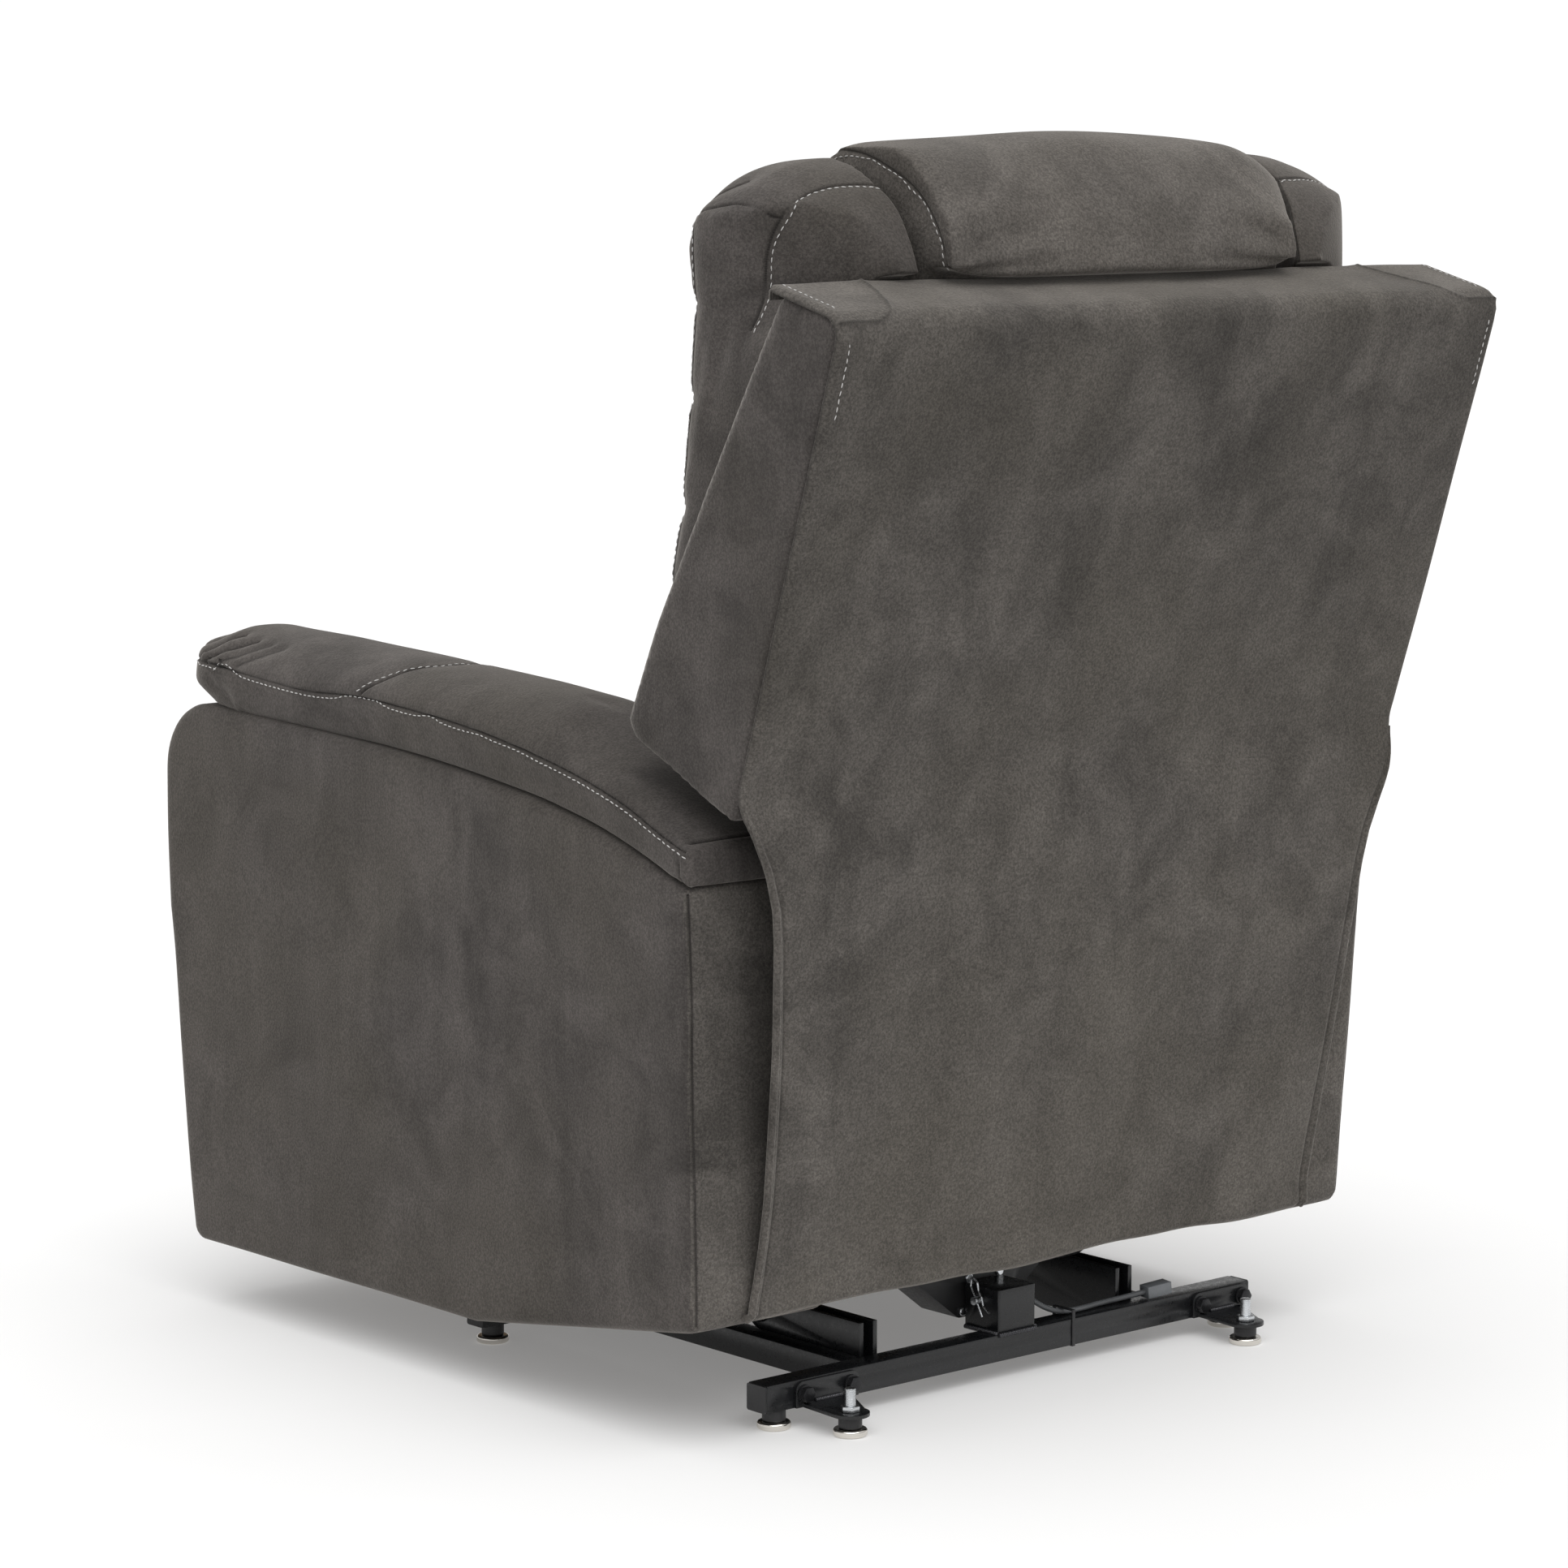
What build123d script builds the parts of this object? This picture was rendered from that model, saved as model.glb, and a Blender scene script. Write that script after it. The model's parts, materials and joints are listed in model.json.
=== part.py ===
from build123d import *
import os
from math import cos, radians, sin, sqrt

# A power lift recliner armchair. X points to the sitter's left, the chair faces -Y, Z is up.
# The origin is on the floor, under the middle of the chair. Side views are given as (y, z) points.

# ---------------------------------------------------------------- driving dimensions, in mm
# upholstered body
chair_width = 840.0        # over the two arms
seat_room = 524.0          # between the arms
back_width = 826.0         # over the wings of the back
wing_thickness = 28.0
back_panel_thickness = 22.0
soft_gap = 4.0             # air beside a cushion that has to move
seat_gap = 0.3             # air between a soft piece and what carries it
seat_base = 378.0          # underside of the seat cushion
seat_top = 505.0
seat_front = -455.0
seat_rear = 170.0
board_thickness = 18.0     # wooden side boards inside the arms
rail_thickness = 22.0      # wooden rails of the seat and the back

# steel base
tube = 25.4                # side of the square tubes
tube_wall = 1.8
tube_lift = 18.6           # underside of the tubes above the floor
base_width = 632.0
rear_tube_back = 307.0
front_tube_middle = -126.6
rail_gap = 2.6             # air between a lift arm and the rail beside it
cap_thickness = 3.0
cap_plug = 6.0
post_width = 48.0
post_height = 43.0
post_wall = 4.0
post_top_wall = 2.5

# adjustable feet
glide_radius = 16.0
glide_height = 7.0
cup_radius = 11.0
tube_foot_inset = 22.0     # from the end of a tube to its foot
tube_foot_stud = 4.0       # stud radius of the feet under the tubes
outrigger_stud = 5.0       # stud radius of the two feet behind the rear tube
outrigger_foot_inset = 58.0
outrigger_foot_y = 358.8
outrigger_plate_offset = 15.5
outrigger_plate_width = 76.0
outrigger_thickness = 3.5
bolt_spacing = 57.0
bolt_radius = 4.0
tongue_width = 36.0
stud_stand = 22.0          # free thread above the outrigger tongue

# linkage plates and pins
plate = 5.0                # pivot brackets and frame plates
bar = 8.0                  # moving links
side_gap = 2.0             # air between two plates that pass each other
pin_radius = 6.0
pin_head_radius = 9.0
pin_head = 3.0
run_gap = 0.05             # radial play of a running pin
loose_gap = 0.7            # radial play where a linkage closes
link_radius = 14.0
heavy_radius = 18.0
round_tube = 12.7          # radius of the cross tubes
round_wall = 2.0

# lift: pivots and angles in the lowered position
lift_arm_pivot = (139.0, 60.0)
lift_arm_head = (-222.0, 106.0)
front_link_pivot = (-119.0, 150.0)
front_link_head = (-319.0, 157.0)
front_link_turn = 36.315   # degrees that the front links turn in a full lift
lift_lever = 80.0

# footrest linkage, folded
foot_pivot = (-373.0, 260.0)
control_pivot = (-349.0, 338.0)
foot_knee = (-325.0, 155.0)
foot_heel = (-303.0, 88.0)
control_knee = (-301.0, 204.0)
board_pivot = (-439.0, 362.0)
board_low_pivot = (-417.0, 296.0)
footrest_bottom = 75.0
footrest_top = 405.0
footrest_board = 16.0
footrest_back = -455.0
footrest_front = -510.0

# back hinge and its drive
hinge = (252.0, 422.0)
recline_turn = 45.0
recline_lever = 75.0
drive_slope = 35.0         # rise of the recline drive towards the rear
drive_reach = 214.6        # pivot to rod pin with the rod drawn in
rod_radius = 10.0
rod_play = 0.08
drive_tube_radius = 18.0
rod_eye = 12.0
cross_pin = 5.0

# the back in side view
wing_front_low = (230.0, 656.0)
back_rear_low = (388.0, 607.0)
back_rear_top = (519.05, 1021.0)
back_front_top = (442.0, 1041.0)
pillow_top = 1176.0
pillow_gap = 15.0          # air between the head pillow and each bolster
bolster_gap = 3.0

# hand control
control_size = (16.0, 52.0, 160.0)
button_radius = 5.0
button_travel = 1.0
button_stand = 1.5
pocket_y = (-60.0, 70.0)
pocket_z = (390.0, 562.0)
pocket_depth = 28.0
pocket_panel = 3.0
pocket_panel_top = 505.0

# power lead: the middle line of the visible run, from the drive to its plug
lead_radius = 2.75
lead_points = [(-36, 262, 74), (-38, 272, 70), (-45, 281, 62), (-57, 287, 53.5), (-74, 290, 47.6),
               (-100, 291, 47), (-130, 287, 47.2), (-160, 289, 48), (-184, 293, 50.3)]

# ---------------------------------------------------------------- derived places
half_width = chair_width / 2
inner_half = seat_room / 2
half_back = back_width / 2
tube_top = tube_lift + tube
tube_middle = tube_lift + tube / 2
rear_tube_y = rear_tube_back - tube / 2
rear_tube_front = rear_tube_back - tube
front_tube_rear = front_tube_middle + tube / 2
footrest_width = seat_room - 2 * soft_gap

# The footrest's parts lie side by side from the mechanism plate inwards.
mechanism_x = inner_half - plate
layers = []
for number in range(5):
    outer = mechanism_x - side_gap - number * (bar + side_gap)
    layers.append((outer - bar, outer))
foot_link_x, control_link_x, scissor_x, bracket_x, lower_link_x = layers

# The seat box comes next, then the lift linkage: frame plate, lift arm between its cheeks, front link.
box_outer = lower_link_x[0] - side_gap - 1
box_x = (box_outer - rail_thickness, box_outer)
frame_plate_x = (box_x[0] - side_gap - 1 - plate, box_x[0] - side_gap - 1)
lift_arm_x = (frame_plate_x[0] - side_gap - 1 - bar, frame_plate_x[0] - side_gap - 1)
inner_cheek_x = (lift_arm_x[0] - side_gap - plate, lift_arm_x[0] - side_gap)
outer_cheek_x = (lift_arm_x[1] + side_gap, lift_arm_x[1] + side_gap + plate)
front_bracket_x = (inner_cheek_x[0] - 1 - plate, inner_cheek_x[0] - 1)
front_link_x = (front_bracket_x[0] - side_gap - bar, front_bracket_x[0] - side_gap)
rails_x = (lift_arm_x[1] + rail_gap, lift_arm_x[1] + rail_gap + tube)

parts = {}


def add(name, *shapes):
    """Keeps the solids of the shapes as one node."""
    parts[name] = Compound([solid for shape in shapes for solid in shape.solids()])


def block(x, y, z):
    """A box between two limits on each axis."""
    size = [high - low for low, high in (x, y, z)]
    return Pos(*[(low + high) / 2 for low, high in (x, y, z)]) * Box(*size)


def bar_x(point, radius, x):
    """A round bar along X through a side view point."""
    return Pos((x[0] + x[1]) / 2, *point) * Rot(0, 90, 0) * Cylinder(radius, x[1] - x[0])


def bar_y(x, z, radius, y):
    return Pos(x, (y[0] + y[1]) / 2, z) * Rot(90, 0, 0) * Cylinder(radius, y[1] - y[0])


def bar_z(x, y, radius, z):
    return Pos(x, y, (z[0] + z[1]) / 2) * Cylinder(radius, z[1] - z[0])


def mirrored(shape):
    return mirror(shape, Plane.YZ)


def both(shape):
    """A left-hand solid and its right-hand twin."""
    return [shape, mirrored(shape)]


def outline(*points):
    """A side view face; a third number on a point is the radius of that corner."""
    face = Polygon(*[point[:2] for point in points], align=None)
    for point in points:
        if len(point) == 3:
            corner = face.vertices().sort_by_distance(Vector(point[0], point[1], 0))[0]
            face = fillet(corner, point[2])
    return face


def slab(face, x):
    """A side view face given the thickness between two X values."""
    return extrude(Plane.YZ.offset(x[0]) * face, x[1] - x[0], dir=(1, 0, 0))


def link(ends, x):
    """A flat bar that wraps round ends, each a side view point with a radius."""
    circles = [Pos(*point) * Circle(radius) for point, radius in ends]
    return slab(make_hull([edge for circle in circles for edge in circle.edges()]), x)


def drilled(shape, x, *holes):
    """The shape with holes along X, each a side view point with a radius."""
    for point, radius in holes:
        shape = shape - bar_x(point, radius, (x[0] - 1, x[1] + 1))
    return shape


def pin(point, x, heads=(True, True)):
    """A pivot pin along X, with a head beyond either end if asked."""
    shape = bar_x(point, pin_radius, x)
    if heads[0]:
        shape += bar_x(point, pin_head_radius, (x[0] - pin_head, x[0]))
    if heads[1]:
        shape += bar_x(point, pin_head_radius, (x[1], x[1] + pin_head))
    return shape


def polar(point, length, angle):
    """The side view point at a length and an angle from another."""
    return (point[0] + length * cos(radians(angle)), point[1] + length * sin(radians(angle)))


def square_tube(x, y, z, along):
    """A hollow square tube whose bore runs along axis 0 (X) or 1 (Y)."""
    limits = [x, y, z]
    bore = [(low + tube_wall, high - tube_wall) for low, high in limits]
    bore[along] = limits[along]
    return block(*limits) - block(*bore)


# ---------------------------------------------------------------- steel base
# Two cross tubes joined by two rails. Each cross tube is closed by plugs and stands on screwed feet.
half_base = base_width / 2
tube_foot_x = half_base - tube_foot_inset
outrigger_foot_x = half_base - outrigger_foot_inset
tube_x = (-half_base + cap_thickness, half_base - cap_thickness)
tube_z = (tube_lift, tube_top)
rear_y = (rear_tube_front, rear_tube_back)
front_y = (front_tube_middle - tube / 2, front_tube_rear)
bolt_places = []
for foot_x in (outrigger_foot_x, -outrigger_foot_x):
    for side in (-1, 1):
        bolt_places.append(foot_x - outrigger_plate_offset + side * bolt_spacing / 2)

rear_tube = square_tube(tube_x, rear_y, tube_z, 0)
for x in bolt_places:
    rear_tube -= bar_y(x, tube_middle, bolt_radius, (rear_tube_back - tube_wall - 1, rear_tube_back + 1))
front_tube = square_tube(tube_x, front_y, tube_z, 0)
for x in (-tube_foot_x, tube_foot_x):
    rear_tube -= bar_z(x, rear_tube_y, tube_foot_stud, (tube_lift - 1, tube_lift + tube_wall + 1))
    front_tube -= bar_z(x, front_tube_middle, tube_foot_stud, (tube_lift - 1, tube_lift + tube_wall + 1))
add("base_rear_tube", rear_tube)
add("base_front_tube", front_tube)
add("base_rails", *both(square_tube(rails_x, (front_tube_rear, rear_tube_front), tube_z, 1)))

caps = []
for middle in (rear_tube_y, front_tube_middle):
    flange = block((half_base - cap_thickness, half_base), (middle - tube / 2, middle + tube / 2), tube_z)
    reach = tube / 2 - tube_wall
    plug = block((half_base - cap_thickness - cap_plug, half_base - cap_thickness),
                 (middle - reach, middle + reach), (tube_middle - reach, tube_middle + reach))
    rounded = fillet(flange.edges().filter_by(Axis.X), 2.5)
    caps += both(rounded + plug)
add("tube_end_caps", *caps)

# Outriggers: a plate bolted to the rear tube with a tongue that reaches back to a foot.
tongue_top = tube_lift + outrigger_thickness
tongue_z = (tongue_top - outrigger_thickness, tongue_top)
outriggers = []
bolts = []
for foot_x in (outrigger_foot_x, -outrigger_foot_x):
    plate_x = foot_x - outrigger_plate_offset
    half_plate = outrigger_plate_width / 2
    plate_y = (rear_tube_back, rear_tube_back + outrigger_thickness)
    face_plate = block((plate_x - half_plate, plate_x + half_plate), plate_y, (tongue_z[0], tube_top - 1))
    face_plate = fillet(face_plate.edges().filter_by(Axis.Y).sort_by(Axis.Z)[-2:], 8)
    corners = [(plate_x - half_plate + 8, rear_tube_back), (plate_x + half_plate - 8, rear_tube_back),
               (foot_x + tongue_width / 2, outrigger_foot_y), (foot_x - tongue_width / 2, outrigger_foot_y)]
    tongue = extrude(Pos(0, 0, tongue_z[0]) * Polygon(*corners, align=None), outrigger_thickness, dir=(0, 0, 1))
    tongue += bar_z(foot_x, outrigger_foot_y, tongue_width / 2, tongue_z)
    bracket = face_plate + tongue
    bracket -= bar_z(foot_x, outrigger_foot_y, outrigger_stud, (tongue_z[0] - 1, tongue_top + 1))
    for side in (-1, 1):
        x = plate_x + side * bolt_spacing / 2
        bracket -= bar_y(x, tube_middle, bolt_radius, (rear_tube_back - 1, plate_y[1] + 1))
        head_y = plate_y[1]
        head = bar_y(x, tube_middle, 2 * bolt_radius + 0.5, (head_y, head_y + 2))
        hexagon = extrude(Plane.XZ.offset(-head_y - 2) * Pos(x, tube_middle) * RegularPolygon(7.5, 6), 5.5,
                          dir=(0, 1, 0))
        bolts.append(head + hexagon + bar_y(x, tube_middle, bolt_radius, (rear_tube_back - tube_wall - 6, head_y)))
    outriggers.append(bracket)
add("outrigger_brackets", *outriggers)
add("bracket_bolts", *bolts)

# Feet: a chromed glide, a black cup over it and a threaded stud that sets the height.
glides, cups, studs = [], [], []
feet = [(x, y, tube_foot_stud, tube_lift, tube_wall + 12)
        for x in (tube_foot_x, -tube_foot_x) for y in (rear_tube_y, front_tube_middle)]
feet += [(x, outrigger_foot_y, outrigger_stud, tongue_z[0], outrigger_thickness + stud_stand)
         for x in (outrigger_foot_x, -outrigger_foot_x)]
for x, y, stud, seat, stand in feet:
    disc = bar_z(x, y, glide_radius, (0, glide_height))
    glides.append(fillet(disc.edges(), 2.4))
    cup = bar_z(x, y, cup_radius, (glide_height, seat))
    cup = fillet(cup.edges().sort_by(Axis.Z)[:1], 2)
    cups.append(cup - bar_z(x, y, stud, (glide_height - 1, seat + 1)))
    studs.append(bar_z(x, y, stud, (glide_height, seat + stand)))
    if stud == outrigger_stud:
        nut = extrude(Pos(x, y, tongue_top) * RegularPolygon(9.2, 6), 5.5)
        studs.append(nut - bar_z(x, y, stud, (tongue_top - 1, tongue_top + 7)))
add("foot_glides", *glides)
add("foot_cups", *cups)
add("foot_studs", *studs)

# ---------------------------------------------------------------- lift drive on its post
# The turn of the front lever and the height of its chord place the drive, so the drive lies level.
half_turn = front_link_turn / 2
lever_rest = polar(front_link_pivot, lift_lever, -90 - half_turn)
lever_start = (2 * front_link_pivot[0] - lever_rest[0], lever_rest[1])
drive_z = lever_start[1]
lift_stroke = 2 * lift_lever * sin(radians(half_turn))
drive_pin = (rear_tube_front - 0.6, drive_z)
post_x = (-post_width / 2, post_width / 2)
post_y = (rear_tube_back - post_width, rear_tube_back)
post_z = (tube_top, tube_top + post_height)
clevis_pin_radius = 4.0
lug_half = 10.0

hollow = block((post_x[0] + post_wall, post_x[1] - post_wall), (post_y[0] - 1, post_y[1] - post_wall),
               (post_z[0] - 1, post_z[1] - post_top_wall))
post = block(post_x, post_y, post_z)
post = fillet(post.edges().filter_by(Axis.Z), 2.5) - hollow
add("drive_post", drilled(post, post_x, (drive_pin, clevis_pin_radius + run_gap)))

clevis_x = (post_x[0], post_x[1] + 9)
clip_x = post_x[1] + 5
clevis = bar_x(drive_pin, clevis_pin_radius, clevis_x)
clevis += bar_x(drive_pin, clevis_pin_radius + 3, (post_x[0] - 3, post_x[0]))
clip_hole = Pos(clip_x, *drive_pin) * Rot(30, 0, 0) * Cylinder(1.1, 20)
add("clevis_pin", clevis - clip_hole)
clip_path = FilletPolyline((0, 0, -17), (0, 0, 15), (0, 5, 22), (0, 10, 15), (0, 7.5, 7), (0, 8.5, 0),
                           (0, 6.5, -8), (0, 11, -17), radius=[2.5, 2.5, 2.5, 3.5, 4, 4])
clip = sweep(Plane(origin=(0, 0, -17), z_dir=(0, 0, 1)) * Circle(1.0), path=clip_path)
add("r_clip", Pos(clip_x, *drive_pin) * Rot(30, 0, 0) * clip)

# The gear case is a wedge that narrows down to the lug; the motor lies across it.
case_y = (205.0, 256.0)
case_bottom = 52.0
case_shoulder = 96.0
case_top = 146.0
case_face = Polygon((-29, case_bottom), (29, case_bottom), (86, case_shoulder), (86, case_top),
                    (-86, case_top), (-86, case_shoulder), align=None)
case = extrude(Plane.XZ.offset(-case_y[0]) * case_face, case_y[1] - case_y[0], dir=(0, 1, 0))
case = fillet(case.edges().filter_by(Axis.Y), 6)
motor_point = ((case_y[0] + case_y[1]) / 2 - 2, 114.0)
motor_radius = 31.0
motor = fillet(bar_x(motor_point, motor_radius, (-150, -60)).edges().sort_by(Axis.X)[:1], 8)
lug = link([((case_y[1] - 1, drive_z), lug_half - 0.5), (drive_pin, lug_half - 0.5)], (-lug_half, lug_half))
housing = case + motor + lug
lead_gland = bar_y(lead_points[0][0], lead_points[0][2], 2 * lead_radius, (case_y[1], lead_points[0][1] - 1.5))
housing = drilled(housing + lead_gland, (-lug_half, lug_half), (drive_pin, clevis_pin_radius + run_gap))
lift_tube_y = (-50.0, case_y[0])
add("lift_drive_housing", housing)
lift_tube = bar_y(0, drive_z, drive_tube_radius, lift_tube_y)
add("lift_drive_tube", lift_tube - bar_y(0, drive_z, rod_radius + rod_play, lift_tube_y))
screws = []
for x, z in ((16, 90), (-24, 90), (24, 58), (-50, 136), (70, 136)):
    head = bar_y(x, z, 4.5, (case_y[1], case_y[1] + 2.6))
    screws.append(fillet(head.edges().sort_by(Axis.Y)[-1:], 1.5))
add("drive_screws", *screws)

# Rod with its eye and a cross pin that rides in the slots of the front lever.
lever_x = (rod_eye + side_gap / 2, rod_eye + side_gap / 2 + plate)


def drive_rod(length):
    """A rod along +X from its inner end to the middle of its eye, with the cross pin in the eye."""
    rod = Pos(length / 2, 0, 0) * Rot(0, 90, 0) * Cylinder(rod_radius, length)
    eye = Pos(length, 0, 0) * Rot(90, 0, 0) * Cylinder(rod_eye, 2 * rod_eye)
    cross = Pos(length, 0, 0) * Rot(90, 0, 0) * Cylinder(cross_pin, 2 * lever_x[1])
    return rod + eye + cross


lift_rod_inner = 60.0
add("lift_rod", Pos(0, lift_rod_inner, drive_z) * Rot(0, 0, -90) * drive_rod(lift_rod_inner - lever_start[0]))

# The lead leaves the gear case, is tied to the rear tube and ends in a small plug on the tube.
corner_radii = []
for before, here, after in zip(lead_points, lead_points[1:], lead_points[2:]):
    inward = Vector(*here) - Vector(*before)
    outward = Vector(*after) - Vector(*here)
    turn = radians(inward.get_angle(outward))
    corner_radii.append(0.45 * min(inward.length, outward.length) / (sin(turn / 2) / cos(turn / 2)))
lead_path = FilletPolyline(*lead_points, radius=corner_radii)
lead_plane = Plane(origin=lead_points[0], z_dir=Vector(*lead_points[1]) - Vector(*lead_points[0]))
lead = sweep(lead_plane * Circle(lead_radius), path=lead_path)
print("lead radii", [round(radius, 1) for radius in corner_radii], "length", round(lead_path.length, 1),
      "volume ratio", round(lead.volume / (3.14159265 * lead_radius ** 2 * lead_path.length), 4))
add("power_lead", lead)
lead_end = Vector(*lead_points[-1])
lead_run = lead_end - Vector(*lead_points[-2])
plug_frame = Plane(origin=lead_end, z_dir=lead_run, x_dir=(0, 1, 0))
plug_size = (15.0, 12.0, 28.0)
plug = plug_frame * (Pos(0, 0, plug_size[2] / 2) * Box(*plug_size))
plug -= plug_frame * (Pos(0, 0, plug_size[2]) * Box(9.5, 7.5, 12))
add("lead_plug", plug)
tie_x = (lead_points[4][0] - 2, lead_points[4][0] + 2)
tie_room = 2 * lead_radius + 2.4
tie_out = block(tie_x, (rear_y[0] - 1.2, rear_y[1] + 1.2), (tube_lift - 1.2, tube_top + tie_room + 1.2))
add("cable_tie", tie_out - block(tie_x, rear_y, (tube_lift, tube_top + tie_room)))

# ---------------------------------------------------------------- lift linkage
pivot_hole = pin_radius + run_gap
cheek_radius = lift_arm_pivot[1] - tube_top

cheeks = []
for x, low in ((inner_cheek_x, tube_lift + 3), (outer_cheek_x, tube_top)):
    web = block(x, (lift_arm_pivot[0], rear_tube_front), (low, lift_arm_pivot[1] + cheek_radius))
    cheek = link([(lift_arm_pivot, cheek_radius)], x) + web
    cheeks += both(drilled(cheek, x, (lift_arm_pivot, pin_radius)))
add("lift_arm_cheeks", *cheeks)
foot_of_bracket = block(front_bracket_x, front_y, (tube_top, tube_top + 6))
upright = link([((front_tube_middle, tube_top + 14), tube / 2), (front_link_pivot, 16)], front_bracket_x)
upright = drilled(upright + foot_of_bracket, front_bracket_x, (front_link_pivot, pin_radius))
add("front_link_brackets", *both(upright))
base_pins = both(pin(lift_arm_pivot, (inner_cheek_x[0], outer_cheek_x[1])))
base_pins += both(pin(front_link_pivot, (front_link_x[0] + 0.5, front_bracket_x[1]), (False, True)))
add("base_pivot_pins", *base_pins)

arm = link([(lift_arm_pivot, cheek_radius - 1), (lift_arm_head, heavy_radius)], lift_arm_x)
arm = drilled(arm, lift_arm_x, (lift_arm_pivot, pivot_hole), (lift_arm_head, pivot_hole))
arm_length = sqrt((lift_arm_head[0] - lift_arm_pivot[0]) ** 2 + (lift_arm_head[1] - lift_arm_pivot[1]) ** 2)
along = [(lift_arm_head[i] - lift_arm_pivot[i]) / arm_length for i in (0, 1)]
brace_along = arm_length / 2
brace_up = (cheek_radius - 1 + heavy_radius) / 2 + round_tube - round_wall / 2
brace_point = (lift_arm_pivot[0] + along[0] * brace_along + along[1] * brace_up,
               lift_arm_pivot[1] + along[1] * brace_along - along[0] * brace_up)
brace_x = (-lift_arm_x[1], lift_arm_x[1])
brace = bar_x(brace_point, round_tube, brace_x) - bar_x(brace_point, round_tube - round_wall, brace_x)
add("lift_arms", arm + mirrored(arm) + brace)

front_bar = link([(front_link_pivot, 16), (front_link_head, 16)], front_link_x)
front_bar = drilled(front_bar, front_link_x, (front_link_pivot, pivot_hole),
                    (front_link_head, pin_radius + loose_gap))
add("front_links", *both(front_bar))
roller_x = (-front_link_x[0], front_link_x[0])


def slotted_lever(pivot, angle, length, turn, x):
    """A lever plate on a round tube, with a slot for a pin that runs straight past it."""
    near = length * cos(radians(turn / 2))
    tip = polar(pivot, length, angle)
    inner = polar(pivot, near, angle)
    lever = link([(pivot, round_tube + 4), (tip, cross_pin + 7)], x)
    slot = link([(inner, cross_pin + loose_gap), (tip, cross_pin + loose_gap)], (x[0] - 1, x[1] + 1))
    return lever - slot


lever_angle = -90 + half_turn
front_lever = slotted_lever(front_link_pivot, lever_angle, lift_lever, front_link_turn, lever_x)
torque_tube = bar_x(front_link_pivot, round_tube, roller_x) + front_lever + mirrored(front_lever)
add("front_torque_tube", torque_tube - bar_x(front_link_pivot, round_tube - round_wall, roller_x))

# ---------------------------------------------------------------- chair frame
# Two plates ride on the lift linkage, two cross tubes carry the mechanism plates beside the arms.
cross_front = (-200.0, 192.0)
cross_rear = (92.4, 192.0)
frame_low = 170.0
frame_high = 214.0
frame_bar = block(frame_plate_x, (front_link_head[0], cross_rear[0] + 30), (frame_low, frame_high))
frame_plate = frame_bar + link([(front_link_head, heavy_radius), ((front_link_head[0], frame_high - 20), 20)],
                               frame_plate_x)
frame_plate += link([(lift_arm_head, heavy_radius), ((lift_arm_head[0] + 10, frame_low + 10), 30)], frame_plate_x)
frame_plate = drilled(frame_plate, frame_plate_x, (front_link_head, pin_radius), (lift_arm_head, pin_radius),
                      (cross_front, round_tube), (cross_rear, round_tube))
add("lift_frame_plates", *both(frame_plate))

mechanism_plate_x = (mechanism_x, inner_half)
mechanism = link([(foot_pivot, 22), (control_pivot, link_radius)], mechanism_plate_x)
mechanism += link([(foot_pivot, 22), (cross_front, 24)], mechanism_plate_x)
mechanism += link([(cross_front, 24), (cross_rear, 24)], mechanism_plate_x)
mechanism += link([(cross_rear, 24), (hinge, 24)], mechanism_plate_x)
mechanism = drilled(mechanism, mechanism_plate_x, (foot_pivot, pin_radius), (control_pivot, pin_radius),
                    (hinge, pin_radius))
add("mechanism_plates", *both(mechanism))

# Recline drive: a motor on an eared bracket of the rear cross tube.
half_recline = recline_turn / 2
recline_mid = -90 + drive_slope
recline_pin = polar(hinge, recline_lever, recline_mid + half_recline)
recline_stroke = 2 * recline_lever * sin(radians(half_recline))
drive_root = polar(recline_pin, -(drive_reach + recline_stroke), drive_slope)
cross_x = (-mechanism_x, mechanism_x)
front_cross = bar_x(cross_front, round_tube, cross_x) - bar_x(cross_front, round_tube - round_wall, cross_x)
ear_x = (lug_half + side_gap / 2, lug_half + side_gap / 2 + plate)
ear = link([(cross_rear, round_tube + 3), (drive_root, 12)], ear_x)
ear = drilled(ear, ear_x, (drive_root, pin_radius), (cross_rear, round_tube - 0.5))
rear_cross = bar_x(cross_rear, round_tube, cross_x) + ear + mirrored(ear)
add("frame_cross_tubes", front_cross, rear_cross - bar_x(cross_rear, round_tube - round_wall, cross_x))

slope = Pos(0, *drive_root) * Rot(drive_slope, 0, 0)
gear_case = slope * block((-26, 26), (18, 68), (-24, 24))
gear_case = fillet(gear_case.edges(), 4)
recline_motor_body = slope * (Pos(-62, 43, 0) * Rot(0, 90, 0) * Cylinder(23, 84))
root_lug = link([(drive_root, lug_half), (polar(drive_root, 22, drive_slope), lug_half)], (-lug_half, lug_half))
recline_housing = drilled(gear_case + recline_motor_body + root_lug, (-lug_half, lug_half),
                          (drive_root, pin_radius + run_gap))
tube_reach = (68.0, drive_reach - rod_eye - side_gap)
rod_tube = slope * bar_y(0, 0, drive_tube_radius - 1, tube_reach)
rod_bore = slope * bar_y(0, 0, rod_radius + rod_play, (tube_reach[0] - 4, tube_reach[1] + 1))
add("recline_drive", recline_housing + rod_tube - rod_bore)
recline_rod_inner = 130.0
rod_length = drive_reach + recline_stroke - recline_rod_inner
add("recline_rod", slope * (Pos(0, recline_rod_inner, 0) * Rot(0, 0, 90) * drive_rod(rod_length)))

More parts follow.
